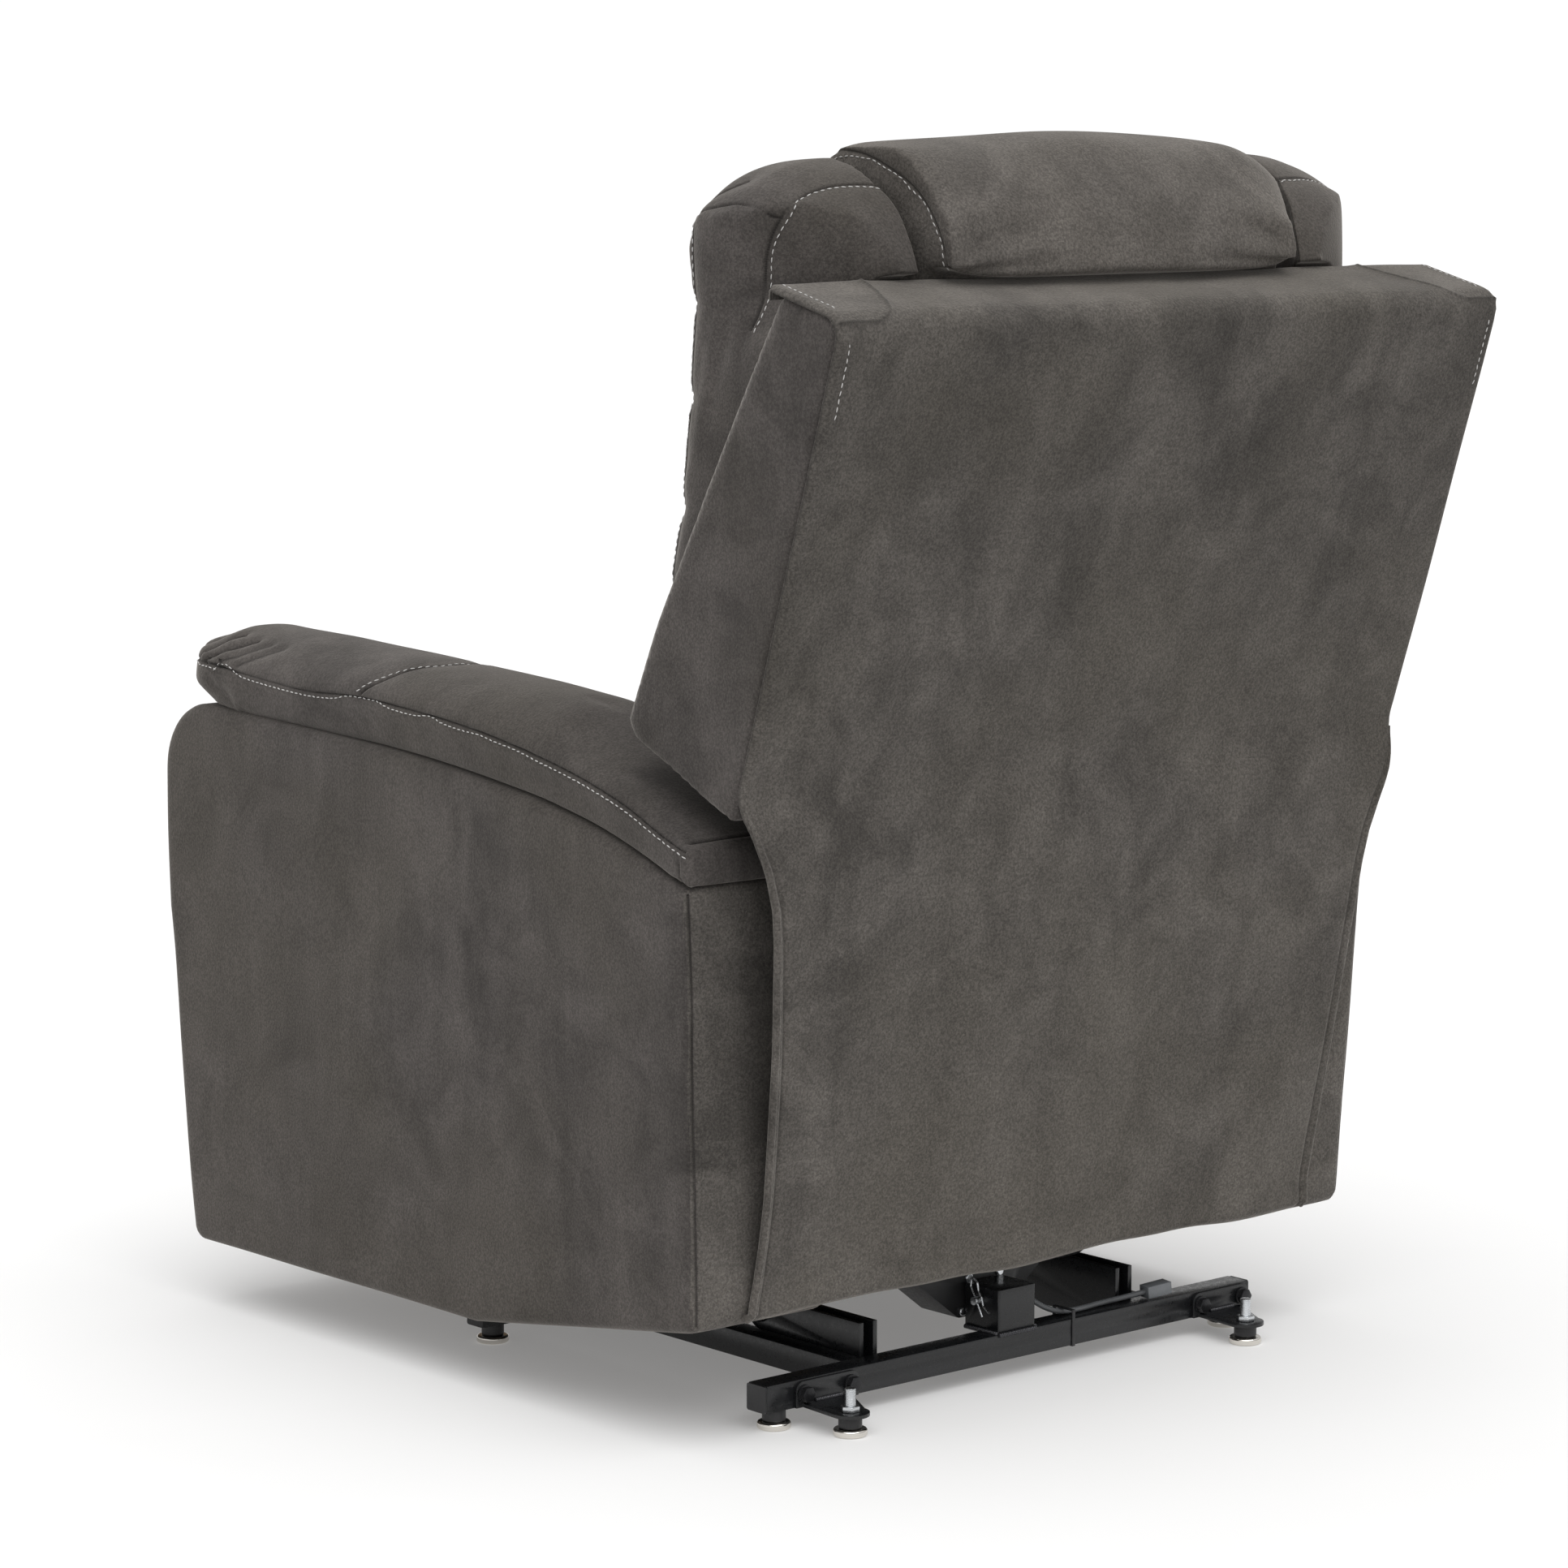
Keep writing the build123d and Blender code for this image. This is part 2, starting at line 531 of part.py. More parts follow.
# Pins that the chair frame carries.
frame_pins = both(pin(lift_arm_head, (lift_arm_x[0], frame_plate_x[1])))
frame_pins += both(pin(front_link_head, (front_link_x[0], frame_plate_x[1])))
frame_pins += both(pin(foot_pivot, (foot_link_x[0], inner_half), (False, False)))
frame_pins += both(pin(control_pivot, (control_link_x[0], inner_half), (False, False)))
frame_pins += both(pin(hinge, (foot_link_x[0], inner_half), (False, False)))
frame_pins.append(pin(drive_root, (-ear_x[1], ear_x[1])))
add("frame_pins", *frame_pins)

# Wooden seat box with zigzag springs across its top.
box_front = -442.0
box_rear = 162.0
spring_wire = 2.0
rail_top = seat_base - 2 * spring_wire
cross_top = cross_front[1] + round_tube
side_rail = block(box_x, (box_front, box_rear), (cross_top, rail_top))
end_x = (-box_x[0], box_x[0])
front_rail = block(end_x, (box_front, box_front + rail_thickness), (262, rail_top))
rear_rail = block(end_x, (box_rear - rail_thickness, box_rear), (300, rail_top))
add("seat_box", *both(side_rail), front_rail, rear_rail)

spring_count = 4
spring_pitch = 37.0
spring_half = 24.0
springs = []
for number in range(spring_count):
    middle = (number - (spring_count - 1) / 2) * 88.0
    turns = int((box_rear - box_front - 12) // spring_pitch)
    points = [(middle, box_front + 6, 0)]
    for step in range(turns):
        side = spring_half if step % 2 else -spring_half
        y = box_front + 6 + spring_pitch * (step + 0.5)
        points += [(middle + side, y - spring_pitch * 0.35, 0), (middle + side, y + spring_pitch * 0.35, 0)]
    points.append((middle, box_front + 6 + spring_pitch * turns, 0))
    path = FilletPolyline(*points, radius=8)
    start = Plane(origin=points[0], z_dir=path % 0)
    springs.append(Pos(0, 0, rail_top + spring_wire) * sweep(start * Circle(spring_wire), path=path))
add("seat_springs", *springs)

cushion = block((-inner_half + soft_gap, inner_half - soft_gap), (seat_front, seat_rear), (seat_base, seat_top))
add("seat_cushion", fillet(cushion.edges(), 24))

# ---------------------------------------------------------------- arms
# Each arm is a wooden frame in an upholstered case, with a padded top that overhangs in front.
arm_x = (inner_half, half_width)
top_front = (-494.0, 613.0)
top_middle = (-53.0, 592.0)
top_rear = (188.0, 565.0)
top_end = (320.0, 517.0)
case_outline = outline((*top_front, 70), top_middle, top_rear, (*top_end, 10), (333, 114, 14), (3, 64),
                       (-455, 63, 16), (-493, 400))
cavity = Polygon((-462, 380), (-462, 560), (-60, 560), (180, 530), (298, 488), (306, 150), (0, 96), (-430, 96),
                 align=None)
wall = 25.0
cavity_x = (arm_x[0] + wall, arm_x[1] - wall - 8)
arm_case = slab(case_outline, arm_x) - slab(cavity, cavity_x)
inner_board = slab(cavity, (cavity_x[0], cavity_x[0] + board_thickness))
outer_board = slab(cavity, (cavity_x[1] - board_thickness, cavity_x[1]))
between = (cavity_x[0] + board_thickness, cavity_x[1] - board_thickness)
window = Polygon((-380, 170), (-400, 480), (150, 470), (230, 430), (235, 210), (0, 160), align=None)
boards = [board - slab(window, (arm_x[0], arm_x[1])) for board in (inner_board, outer_board)]
stretchers = [block(between, (-440, -400), (398, 438)), block(between, (-20, 20), (500, 540)),
              block(between, (250, 290), (280, 320)), block(between, (-300, -260), (100, 140))]
arm_frame = boards[0] + boards[1]
for stretcher in stretchers:
    arm_frame += stretcher
pocket_x = (-half_width, -half_width + pocket_depth)
pocket_cut = block((pocket_x[0] - 1, pocket_x[1]), pocket_y, pocket_z)
add("arm_frames", *both(arm_frame))
add("arm_left", arm_case)
add("arm_right", mirrored(arm_case) - pocket_cut)

pad_outline = outline((-482, 612.43), (-517, 632, 12), (-514, 668, 16), (-440, 685, 70), (-300, 682),
                      (13, 666), (120, 658, 60), (322, 556, 10), top_end, top_rear, top_middle)
pad_x = (arm_x[0] + 6, arm_x[1])
arm_pad = slab(pad_outline, pad_x)
add("arm_pad_left", arm_pad)
add("arm_pad_right", mirrored(arm_pad))

# ---------------------------------------------------------------- hand control in its pocket
panel = block((pocket_x[0], pocket_x[0] + pocket_panel), pocket_y, (pocket_z[0], pocket_panel_top))
add("side_pocket", panel)
control_middle = (pocket_y[0] + pocket_y[1]) / 2 - 25
control_x = (pocket_x[0] + pocket_panel + 2, pocket_x[0] + pocket_panel + 2 + control_size[0])
control_y = (control_middle - control_size[1] / 2, control_middle + control_size[1] / 2)
control_z = (pocket_z[0], pocket_z[0] + control_size[2])
handset = fillet(block(control_x, control_y, control_z).edges(), 4)
button_well = button_travel + button_stand + 2
buttons = {"raise_button": control_z[1] - 12, "lower_button": control_z[1] - 27}
for name, height in buttons.items():
    place = (control_middle, height)
    handset -= bar_x(place, button_radius + run_gap, (control_x[0] - 1, control_x[0] + button_well))
    cap = bar_x(place, button_radius, (control_x[0] - button_stand, control_x[0] + button_well - button_travel))
    add(name, cap)
add("hand_control", handset)

# ---------------------------------------------------------------- footrest
loose_hole = pin_radius + loose_gap

main_link = link([(foot_pivot, link_radius), (foot_knee, link_radius), (foot_heel, link_radius)], foot_link_x)
main_link = drilled(main_link, foot_link_x, (foot_pivot, pivot_hole), (foot_knee, pin_radius),
                    (foot_heel, pin_radius))
knee_pin = bar_x(foot_knee, pin_radius, (scissor_x[0], foot_link_x[1]))
heel_pin = bar_x(foot_heel, pin_radius, (lower_link_x[0], foot_link_x[1]))
add("footrest_main_links", *both(main_link), *both(knee_pin), *both(heel_pin))

control_link = link([(control_pivot, link_radius), (control_knee, link_radius)], control_link_x)
control_link = drilled(control_link, control_link_x, (control_pivot, pivot_hole), (control_knee, pin_radius))
control_pin = bar_x(control_knee, pin_radius, (scissor_x[0], control_link_x[1]))
add("footrest_control_links", *both(control_link), *both(control_pin))

scissor = link([(foot_knee, link_radius), (control_knee, link_radius), (board_pivot, link_radius)], scissor_x)
scissor = drilled(scissor, scissor_x, (foot_knee, pivot_hole), (control_knee, loose_hole),
                  (board_pivot, pin_radius))
board_pin = bar_x(board_pivot, pin_radius, (bracket_x[0], scissor_x[1]))
add("footrest_scissor_links", *both(scissor), *both(board_pin))

lower_link = link([(foot_heel, link_radius), (board_low_pivot, link_radius)], lower_link_x)
lower_link = drilled(lower_link, lower_link_x, (foot_heel, pivot_hole), (board_low_pivot, loose_hole))
add("footrest_lower_links", *both(lower_link))

flange_y = (footrest_back, footrest_back + 4)
web = block(bracket_x, (footrest_back, board_low_pivot[0]), (282, board_pivot[1] + link_radius))
board_bracket = link([(board_pivot, link_radius), (board_low_pivot, link_radius)], bracket_x) + web
board_bracket = drilled(board_bracket, bracket_x, (board_pivot, pivot_hole), (board_low_pivot, pin_radius))
board_bracket += block((lower_link_x[0] - 10, bracket_x[1]), flange_y, (282, board_pivot[1] + link_radius))
low_pin = bar_x(board_low_pivot, pin_radius, (lower_link_x[0], bracket_x[1]))
add("footrest_brackets", *both(board_bracket), *both(low_pin))
board_x = footrest_width / 2 - 24
board_y = (footrest_back - footrest_board, footrest_back)
add("footrest_board", block((-board_x, board_x), board_y, (footrest_bottom + 18, footrest_top - 18)))
foot_pad = block((-footrest_width / 2, footrest_width / 2), (footrest_front, board_y[0]),
                 (footrest_bottom, footrest_top))
add("footrest_pad", fillet(foot_pad.edges(), 14))

# ---------------------------------------------------------------- back
# The wooden back frame turns on the hinge pins; shell, side bolsters and cushions hang on it.
back_tube_x = (-foot_link_x[0], foot_link_x[0])
back_lever = slotted_lever(hinge, recline_mid + half_recline, recline_lever, recline_turn, lever_x)
back_tube = bar_x(hinge, round_tube, back_tube_x) + back_lever + mirrored(back_lever)
add("back_torque_tube", back_tube - bar_x(hinge, round_tube - round_wall, back_tube_x))
lean = (back_rear_top[0] - back_rear_low[0]) / (back_rear_top[1] - back_rear_low[1])
lean_length = sqrt(1 + lean ** 2)


def behind(z, inset):
    """The side view point at a height, an inset in front of the sloping rear face."""
    return (back_rear_low[0] + lean * (z - back_rear_low[1]) - inset * lean_length, z)


post_depth = 60.0
post_low = 452.0
post_high = 985.0
upright_x = (foot_link_x[0] - rail_thickness, foot_link_x[0])
panel_face = back_panel_thickness
upright_face = Polygon(behind(post_low, panel_face), behind(post_high, panel_face),
                       behind(post_high, panel_face + post_depth), behind(post_low, panel_face + post_depth),
                       align=None)
back_posts = both(slab(upright_face, upright_x))
back_rails = []
for low in (post_low + 10, 690.0, post_high - 62):
    face = Polygon(behind(low, panel_face), behind(low + 60, panel_face),
                   behind(low + 60, panel_face + rail_thickness), behind(low, panel_face + rail_thickness),
                   align=None)
    back_rails.append(slab(face, (-upright_x[0], upright_x[0])))
add("back_frame", *back_posts, *back_rails)
hanger_end = behind(560, panel_face + post_depth / 2)
hanger = link([(hinge, 20), (behind(470, panel_face + post_depth / 2), 22), (hanger_end, 16)], foot_link_x)
add("back_hangers", *both(drilled(hanger, foot_link_x, (hinge, pivot_hole))))

wing_low = [(240, 640), (284, 620), (330, 598), (376, 578)]
shell_outline = outline((*wing_front_low, 6), *wing_low, (*back_rear_low, 10), (*back_rear_top, 10),
                        (*back_front_top, 14), (339, 867), (271, 745))
room_low = behind(540, panel_face)
top_slope = (back_rear_top[1] - back_front_top[1]) / (back_rear_top[0] - back_front_top[0])


def under_top(y):
    """The side view point at a y, one panel thickness under the sloping top."""
    return (y, back_rear_top[1] + top_slope * (y - back_rear_top[0]) - panel_face)


corner_y = 488.6
room = Polygon(room_low, behind(under_top(corner_y)[1], panel_face), under_top(300), (150, under_top(300)[1]),
               (150, room_low[1]), align=None)
room_x = half_back - wing_thickness
shell = slab(shell_outline, (-half_back, half_back)) - slab(room, (-room_x, room_x))
add("back_shell", shell)

bolster_inner = foot_link_x[0] + bolster_gap
bolster_x = (bolster_inner, room_x - seat_gap)
crown_low = back_front_top[1] + 14
strip_low = back_front_top[1] - 31
bolster_outline = outline((226, 668, 20), (269, 844), (301, 1025), (316, 1088), (372, 1136, 50), (446, 1150, 30),
                          (470, 1118, 14), (466, crown_low, 8), (424, crown_low - 6), (424, strip_low),
                          behind(960, panel_face + 8), behind(668, panel_face + 8))
bolster = slab(bolster_outline, bolster_x)
bolster = fillet(bolster.edges().filter_by(Axis.X).sort_by(Axis.Z)[:1], 6)
add("bolster_left", bolster)
add("bolster_right", mirrored(bolster))

cushion_back = panel_face + post_depth + seat_gap
cushion_x = (-bolster_inner + soft_gap / 2, bolster_inner - soft_gap / 2)
lumbar_outline = outline((176, 520, 30), (178, 640, 60), (220, 742, 30), behind(742, cushion_back),
                         behind(520, cushion_back))
add("lumbar_cushion", slab(lumbar_outline, cushion_x))
upper_outline = outline((222, 746, 30), (232, 860, 60), (280, 956, 30), behind(956, cushion_back),
                        behind(746, cushion_back))
add("upper_cushion", slab(upper_outline, cushion_x))
pillow_outline = outline((272, 960, 30), (252, 1060, 60), (300, pillow_top, 50), (408, pillow_top - 6, 50),
                         (462, 1100, 30), (462, crown_low + 2, 8), (424, crown_low - 2), (424, strip_low),
                         behind(post_high, cushion_back), behind(960, cushion_back))
pillow_half = bolster_inner - pillow_gap
add("head_pillow", slab(pillow_outline, (-pillow_half, pillow_half)))

# Loose cloth flap, sewn to the lower rear edge of the shell, that carries the back panel down behind the seat.
flap_thickness = 3.0
seam_share = 0.85
seam = [low + seam_share * (high - low) for low, high in zip(wing_low[-1], back_rear_low)]
flap_line = [(seam[0] + seat_gap + flap_thickness, seam[1]), (399, 572), (402, 545), (394, 470), (381, 368),
             (360, 231), (344, 150), (341, 122)]
flap_points = flap_line + [(y - flap_thickness, z) for y, z in reversed(flap_line)]
flap_top = half_back + 1
flap_middle = half_back - 37
flap_low = half_back - 56
flap_shape = Polygon((-flap_top, seam[1]), (-flap_top, 575), (-flap_middle, 470), (-flap_low, 231), (-flap_low, 120),
                     (flap_low, 120), (flap_low, 231), (flap_middle, 470), (flap_top, 575), (flap_top, seam[1]),
                     align=None)
flap = slab(Polygon(*flap_points, align=None), (-flap_top, flap_top))
flap_cut = extrude(Plane.XZ * flap_shape, rear_tube_back + 200, dir=(0, 1, 0))
add("rear_flap", flap & flap_cut)

# ---------------------------------------------------------------- export
os.makedirs("parts", exist_ok=True)
for name, shape in parts.items():
    export_step(shape, f"parts/{name}.step")
everything = Compound([solid for shape in parts.values() for solid in shape.solids()]).bounding_box()
print(len(parts), "nodes", [round(value, 2) for value in (*everything.min, *everything.max)])
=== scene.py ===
# %% [markdown]
# # A power lift recliner, dressed for the camera
# The steel base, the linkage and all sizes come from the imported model, which is loaded first and never
# moved. This file gives every piece its finish and makes the soft parts: a tight case on each arm, a
# padded arm top, a back shell with a hanging cover, and cushions that are blown up like real ones.

# %% Load the frame
import json
import math
import random

import bmesh
import bpy
import numpy as np
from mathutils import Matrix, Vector
from mathutils.bvhtree import BVHTree
from mathutils.kdtree import KDTree

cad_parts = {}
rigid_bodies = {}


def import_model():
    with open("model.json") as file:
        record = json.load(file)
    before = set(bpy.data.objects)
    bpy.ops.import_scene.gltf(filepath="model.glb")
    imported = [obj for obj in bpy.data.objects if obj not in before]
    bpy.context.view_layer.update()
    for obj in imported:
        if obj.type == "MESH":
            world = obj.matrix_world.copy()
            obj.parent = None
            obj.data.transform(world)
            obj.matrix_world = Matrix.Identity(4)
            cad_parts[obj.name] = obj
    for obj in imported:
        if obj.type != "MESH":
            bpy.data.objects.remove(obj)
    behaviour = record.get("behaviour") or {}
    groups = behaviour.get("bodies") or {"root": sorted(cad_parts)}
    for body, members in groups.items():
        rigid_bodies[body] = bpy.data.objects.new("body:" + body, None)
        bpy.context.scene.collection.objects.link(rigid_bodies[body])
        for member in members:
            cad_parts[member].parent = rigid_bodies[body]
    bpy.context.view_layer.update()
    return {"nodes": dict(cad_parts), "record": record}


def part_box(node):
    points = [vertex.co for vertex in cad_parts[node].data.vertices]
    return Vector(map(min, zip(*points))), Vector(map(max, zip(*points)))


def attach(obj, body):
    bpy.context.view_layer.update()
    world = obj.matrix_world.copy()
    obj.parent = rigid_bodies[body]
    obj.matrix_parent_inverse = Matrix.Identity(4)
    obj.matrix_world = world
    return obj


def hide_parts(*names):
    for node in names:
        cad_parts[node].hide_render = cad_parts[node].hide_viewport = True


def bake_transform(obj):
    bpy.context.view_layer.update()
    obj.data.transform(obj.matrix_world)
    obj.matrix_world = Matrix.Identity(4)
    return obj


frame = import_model()
mm = 0.001
scene = bpy.context.scene

# %% [markdown]
# ## Camera
# A long lens far away keeps upright lines nearly parallel, as in a catalogue picture. The camera looks at
# the chair from behind and a little above, over the sitter's left shoulder.

# %% Camera
eye = Vector((3.16567, 3.62613, 1.20285))
turn = math.radians(-40.878)
tilt = math.radians(7.880)
lens = 113.56
forward = Vector((math.sin(turn) * math.cos(tilt), -math.cos(turn) * math.cos(tilt), -math.sin(tilt)))
camera = bpy.data.objects.new("camera", bpy.data.cameras.new("camera"))
camera.data.lens = lens
camera.data.sensor_width = 36
camera.location = eye
camera.rotation_euler = forward.to_track_quat("-Z", "Y").to_euler()
scene.collection.objects.link(camera)
scene.camera = camera
scene.view_settings.view_transform = "Standard"
print("camera at", tuple(round(value, 2) for value in eye))

# %% [markdown]
# ## Helpers for node trees
# A finish is a small tree of nodes. These helpers keep each finish short: one makes a node and fills its
# sockets, the others make the noise, ramp and mix nodes that nearly every finish needs.


# %% Node helpers
def new_finish(name):
    """A new material, its node tree and its shader."""
    material = bpy.data.materials.new(name)
    material.use_nodes = True
    tree = material.node_tree
    shader = tree.nodes["Principled BSDF"]
    return material, tree, shader


def fill(tree, made, values):
    """Gives inputs their values, which are numbers, or sockets to link."""
    for key, value in values.items():
        if isinstance(value, bpy.types.NodeSocket):
            tree.links.new(value, made.inputs[key])
        else:
            made.inputs[key].default_value = value


def node(tree, kind, values=None, **settings):
    """A new node, with values for its inputs and settings for its properties."""
    made = tree.nodes.new(kind)
    for key, value in settings.items():
        setattr(made, key, value)
    fill(tree, made, values or {})
    return made


def place(tree, stretch=(1, 1, 1), turned=(0, 0, 0)):
    """Object coordinates, in metres, stretched along the axes."""
    coordinates = node(tree, "ShaderNodeTexCoord")
    mapping = node(tree, "ShaderNodeMapping", {"Vector": coordinates.outputs["Object"], "Scale": stretch,
                                               "Rotation": turned})
    return mapping.outputs["Vector"]


def cloud(tree, where, scale, detail=3.0, roughness=0.5, distortion=0.0):
    """Noise between 0 and 1."""
    made = node(tree, "ShaderNodeTexNoise", {"Vector": where, "Scale": scale, "Detail": detail,
                                             "Roughness": roughness, "Distortion": distortion})
    return made.outputs["Fac"]


def ramp(tree, factor, stops):
    """A factor turned into greys or colours by (position, value) stops."""
    made = node(tree, "ShaderNodeValToRGB", {"Fac": factor})
    elements = made.color_ramp.elements
    while len(elements) < len(stops):
        elements.new(0.5)
    for element, (position, value) in zip(elements, stops):
        element.position = position
        element.color = (*value, 1) if isinstance(value, tuple) else (value, value, value, 1)
    return made.outputs["Color"]


def mixed(tree, factor, a, b, how="MIX"):
    """Two colours mixed; 6 and 7 are the Mix node's colour inputs, which share their names with others."""
    ends = [(*value, 1) if isinstance(value, tuple) else value for value in (a, b)]
    made = node(tree, "ShaderNodeMix", {"Factor": factor, 6: ends[0], 7: ends[1]}, data_type="RGBA",
                blend_type=how)
    return made.outputs[2]


def between(tree, factor, low, high, a, b):
    """Colour a where the factor is below low, b where it is above high, and a mix between them."""
    return mixed(tree, ramp(tree, factor, [(low, 0.0), (high, 1.0)]), a, b)


def multiplied(tree, amount, colour, by):
    return mixed(tree, amount, colour, mixed(tree, 1.0, colour, by, "MULTIPLY"))


def scaled(tone, factor):
    return tuple(value * factor for value in tone)


def grey(value):
    return (value, value, value)


def bumped(tree, height, strength, distance, below=None):
    """A relief, laid over another one where that is given."""
    values = {"Height": height, "Strength": strength, "Distance": distance}
    if below is not None:
        values["Normal"] = below
    return node(tree, "ShaderNodeBump", values).outputs["Normal"]


print("a finish has a tree, and noise, ramps and mixes are made by helpers")

# %% [markdown]
# ## Finishes
# Faux suede is a felt of fine fibres: matt, with a soft sheen at grazing angles. Stroked one way it looks
# lighter than the other way, which leaves cloudy patches and faint upright streaks. Along a seam the colour
# is darkened as painted shade in its groove, from an attribute called seam that the mesh carries.


# %% Suede
def make_suede(name, tone, warm, streaks, grain=1.0, top_shade=0.0):
    """Suede of a tone, partly tinted warm. Streaks, grain and the painted shade towards the top are shares of
    1.
    """
    material, tree, shader = new_finish(name)
    where = place(tree)
    patches = cloud(tree, where, 11.0, 5.0, 0.62, 0.7)
    strokes = cloud(tree, place(tree, stretch=(1, 1, 0.22)), 22.0, 4.0, 0.6, 0.3)
    fibres = cloud(tree, where, 750.0, 3.0, 0.65)
    pebbles = cloud(tree, where, 400.0, 2.0, 0.5)
    tint = cloud(tree, where, 4.0, 2.0)
    dark, light = scaled(tone, 0.56), scaled(tone, 1.46)
    colour = between(tree, patches, 0.37, 0.63, dark, light)
    colour = mixed(tree, streaks, colour, between(tree, strokes, 0.3, 0.7, dark, light))
    colour = mixed(tree, ramp(tree, tint, [(0.4, 0.0), (0.65, 0.55)]), colour, warm)
    nap = between(tree, fibres, 0.35, 0.68, grey(0.62), grey(1.36))
    colour = multiplied(tree, 0.55 * grain, colour, nap)
    specks = between(tree, pebbles, 0.38, 0.62, grey(0.76), grey(1.22))
    colour = multiplied(tree, 0.8 * min(grain, 1.2), colour, specks)
    # Painted shade: the colour grows darker towards the top.
    if top_shade:
        up = node(tree, "ShaderNodeSeparateXYZ", {"Vector": place(tree, stretch=(1, 1, 0.9))}).outputs["Z"]
        top_shading = ramp(tree, up, [(0.09, 1.0), (0.80, 1 - top_shade), (0.905, 1 - top_shade), (0.93, 0.92)])
        colour = mixed(tree, 1.0, colour, top_shading, "MULTIPLY")
    # Painted shade in the seam's groove: darker where the seam attribute is high.
    seam_shade = node(tree, "ShaderNodeAttribute", attribute_name="seam").outputs["Fac"]
    colour = mixed(tree, seam_shade, colour, scaled(tone, 0.30))
    relief = bumped(tree, pebbles, 0.40 * grain, 0.0012)
    fill(tree, shader, {"Base Color": colour, "Normal": bumped(tree, fibres, 0.35, 0.0006, relief),
                        "Roughness": 0.92, "Specular IOR Level": 0.18, "Sheen Weight": 0.34,
                        "Sheen Roughness": 0.38, "Sheen Tint": (0.85, 0.80, 0.74, 1)})
    return material


# One suede in three copies of different tone, as painted light: a darker copy for the sides, and lighter
# copies for the rear faces and the pillow.
suede_shaded = make_suede("suede_shaded", (0.0575, 0.0515, 0.0482), (0.064, 0.057, 0.048), 0.42)
suede_lit_rear = make_suede("suede_lit_rear", (0.0850, 0.0775, 0.0700), (0.092, 0.083, 0.070), 0.40, 1.25, 0.24)
suede_lit_pillow = make_suede("suede_lit_pillow", (0.0820, 0.0745, 0.0680), (0.088, 0.079, 0.069), 0.30, 1.2)
print("suedes:", suede_shaded.name, suede_lit_rear.name, suede_lit_pillow.name)

# %% [markdown]
# The other finishes are quick to tell apart: powder coat has a fine orange peel, zinc and chrome are bright,
# moulded plastic has a small even grain, plywood shows its layers, and sewing thread is pale and twisted.


# %% Steel, plastic, wood and thread
def make_plain(name, tone, roughness, metallic=0.0, spots=0.15, scale=260.0, relief=0.15, depth=0.0004):
    """A finish with small spots of lighter and darker tone, a worn gloss and a fine relief."""
    material, tree, shader = new_finish(name)
    where = place(tree)
    broad = cloud(tree, where, 18.0, 4.0)
    fine = cloud(tree, where, scale, 3.0)
    light = scaled(tone, 1 + spots)
    colour = between(tree, broad, 0.35, 0.68, scaled(tone, 1 - spots), light)
    colour = mixed(tree, ramp(tree, fine, [(0.45, 0.0), (0.75, 0.5)]), colour, light)
    gloss = ramp(tree, fine, [(0.3, roughness * 0.82), (0.7, min(1.0, roughness * 1.18))])
    fill(tree, shader, {"Base Color": colour, "Roughness": gloss, "Metallic": metallic,
                        "Normal": bumped(tree, fine, relief, depth)})
    return material


black_steel = make_plain("black_powder_coat", (0.0070, 0.0075, 0.0085), 0.30, relief=0.18, depth=0.0003)
black_oxide = make_plain("black_oxide", (0.020, 0.020, 0.022), 0.30, 0.6)
weld_coat = make_plain("coated_weld", (0.05, 0.05, 0.055), 0.18, 0.5, relief=0.3)
chrome = make_plain("chrome_plate", (0.74, 0.71, 0.66), 0.13, 1.0, spots=0.05, relief=0.03)
zinc = make_plain("zinc_plate", (0.62, 0.64, 0.66), 0.28, 1.0, spots=0.12, relief=0.08)
black_plastic = make_plain("black_plastic", (0.012, 0.012, 0.013), 0.45, relief=0.30, scale=420.0)
grey_plastic = make_plain("grey_plastic", (0.16, 0.17, 0.18), 0.45, relief=0.25, scale=420.0)
lead_jacket = make_plain("grey_lead_jacket", (0.10, 0.105, 0.11), 0.40, relief=0.12)
spring_steel = make_plain("oiled_spring_wire", (0.12, 0.115, 0.11), 0.35, 0.9)
thread = make_plain("sewing_thread", (0.46, 0.45, 0.44), 0.75, spots=0.12, scale=1500.0, relief=0.4,
                    depth=0.0002)


def make_plywood():
    material, tree, shader = new_finish("plywood")
    where = place(tree)
    grain = cloud(tree, place(tree, stretch=(1, 0.08, 1)), 90.0, 4.0, 0.6, 0.8)
    layers = node(tree, "ShaderNodeTexWave", {"Vector": where, "Scale": 120.0, "Distortion": 0.6},
                  bands_direction="X").outputs["Fac"]
    colour = between(tree, grain, 0.3, 0.7, (0.33, 0.22, 0.12), (0.55, 0.41, 0.26))
    glue, wood = (0.20, 0.13, 0.07), (0.60, 0.46, 0.30)
    colour = mixed(tree, 0.18, colour, ramp(tree, layers, [(0.2, glue), (0.8, wood)]))
    fill(tree, shader, {"Base Color": colour, "Roughness": 0.7, "Normal": bumped(tree, grain, 0.3, 0.0006)})
    return material


plywood = make_plywood()
print("finishes in all:", len(bpy.data.materials))

# %% [markdown]
# ## Rows of small things
# The pale thread shows as short dashes, a weld as overlapping ripples, and a threaded stud as close rings.
# One Geometry Nodes group lays all of them along a line: the line is divided into equal steps, a little
# ball of the given length and thickness goes on each, turned along the line, and none is quite like the next.


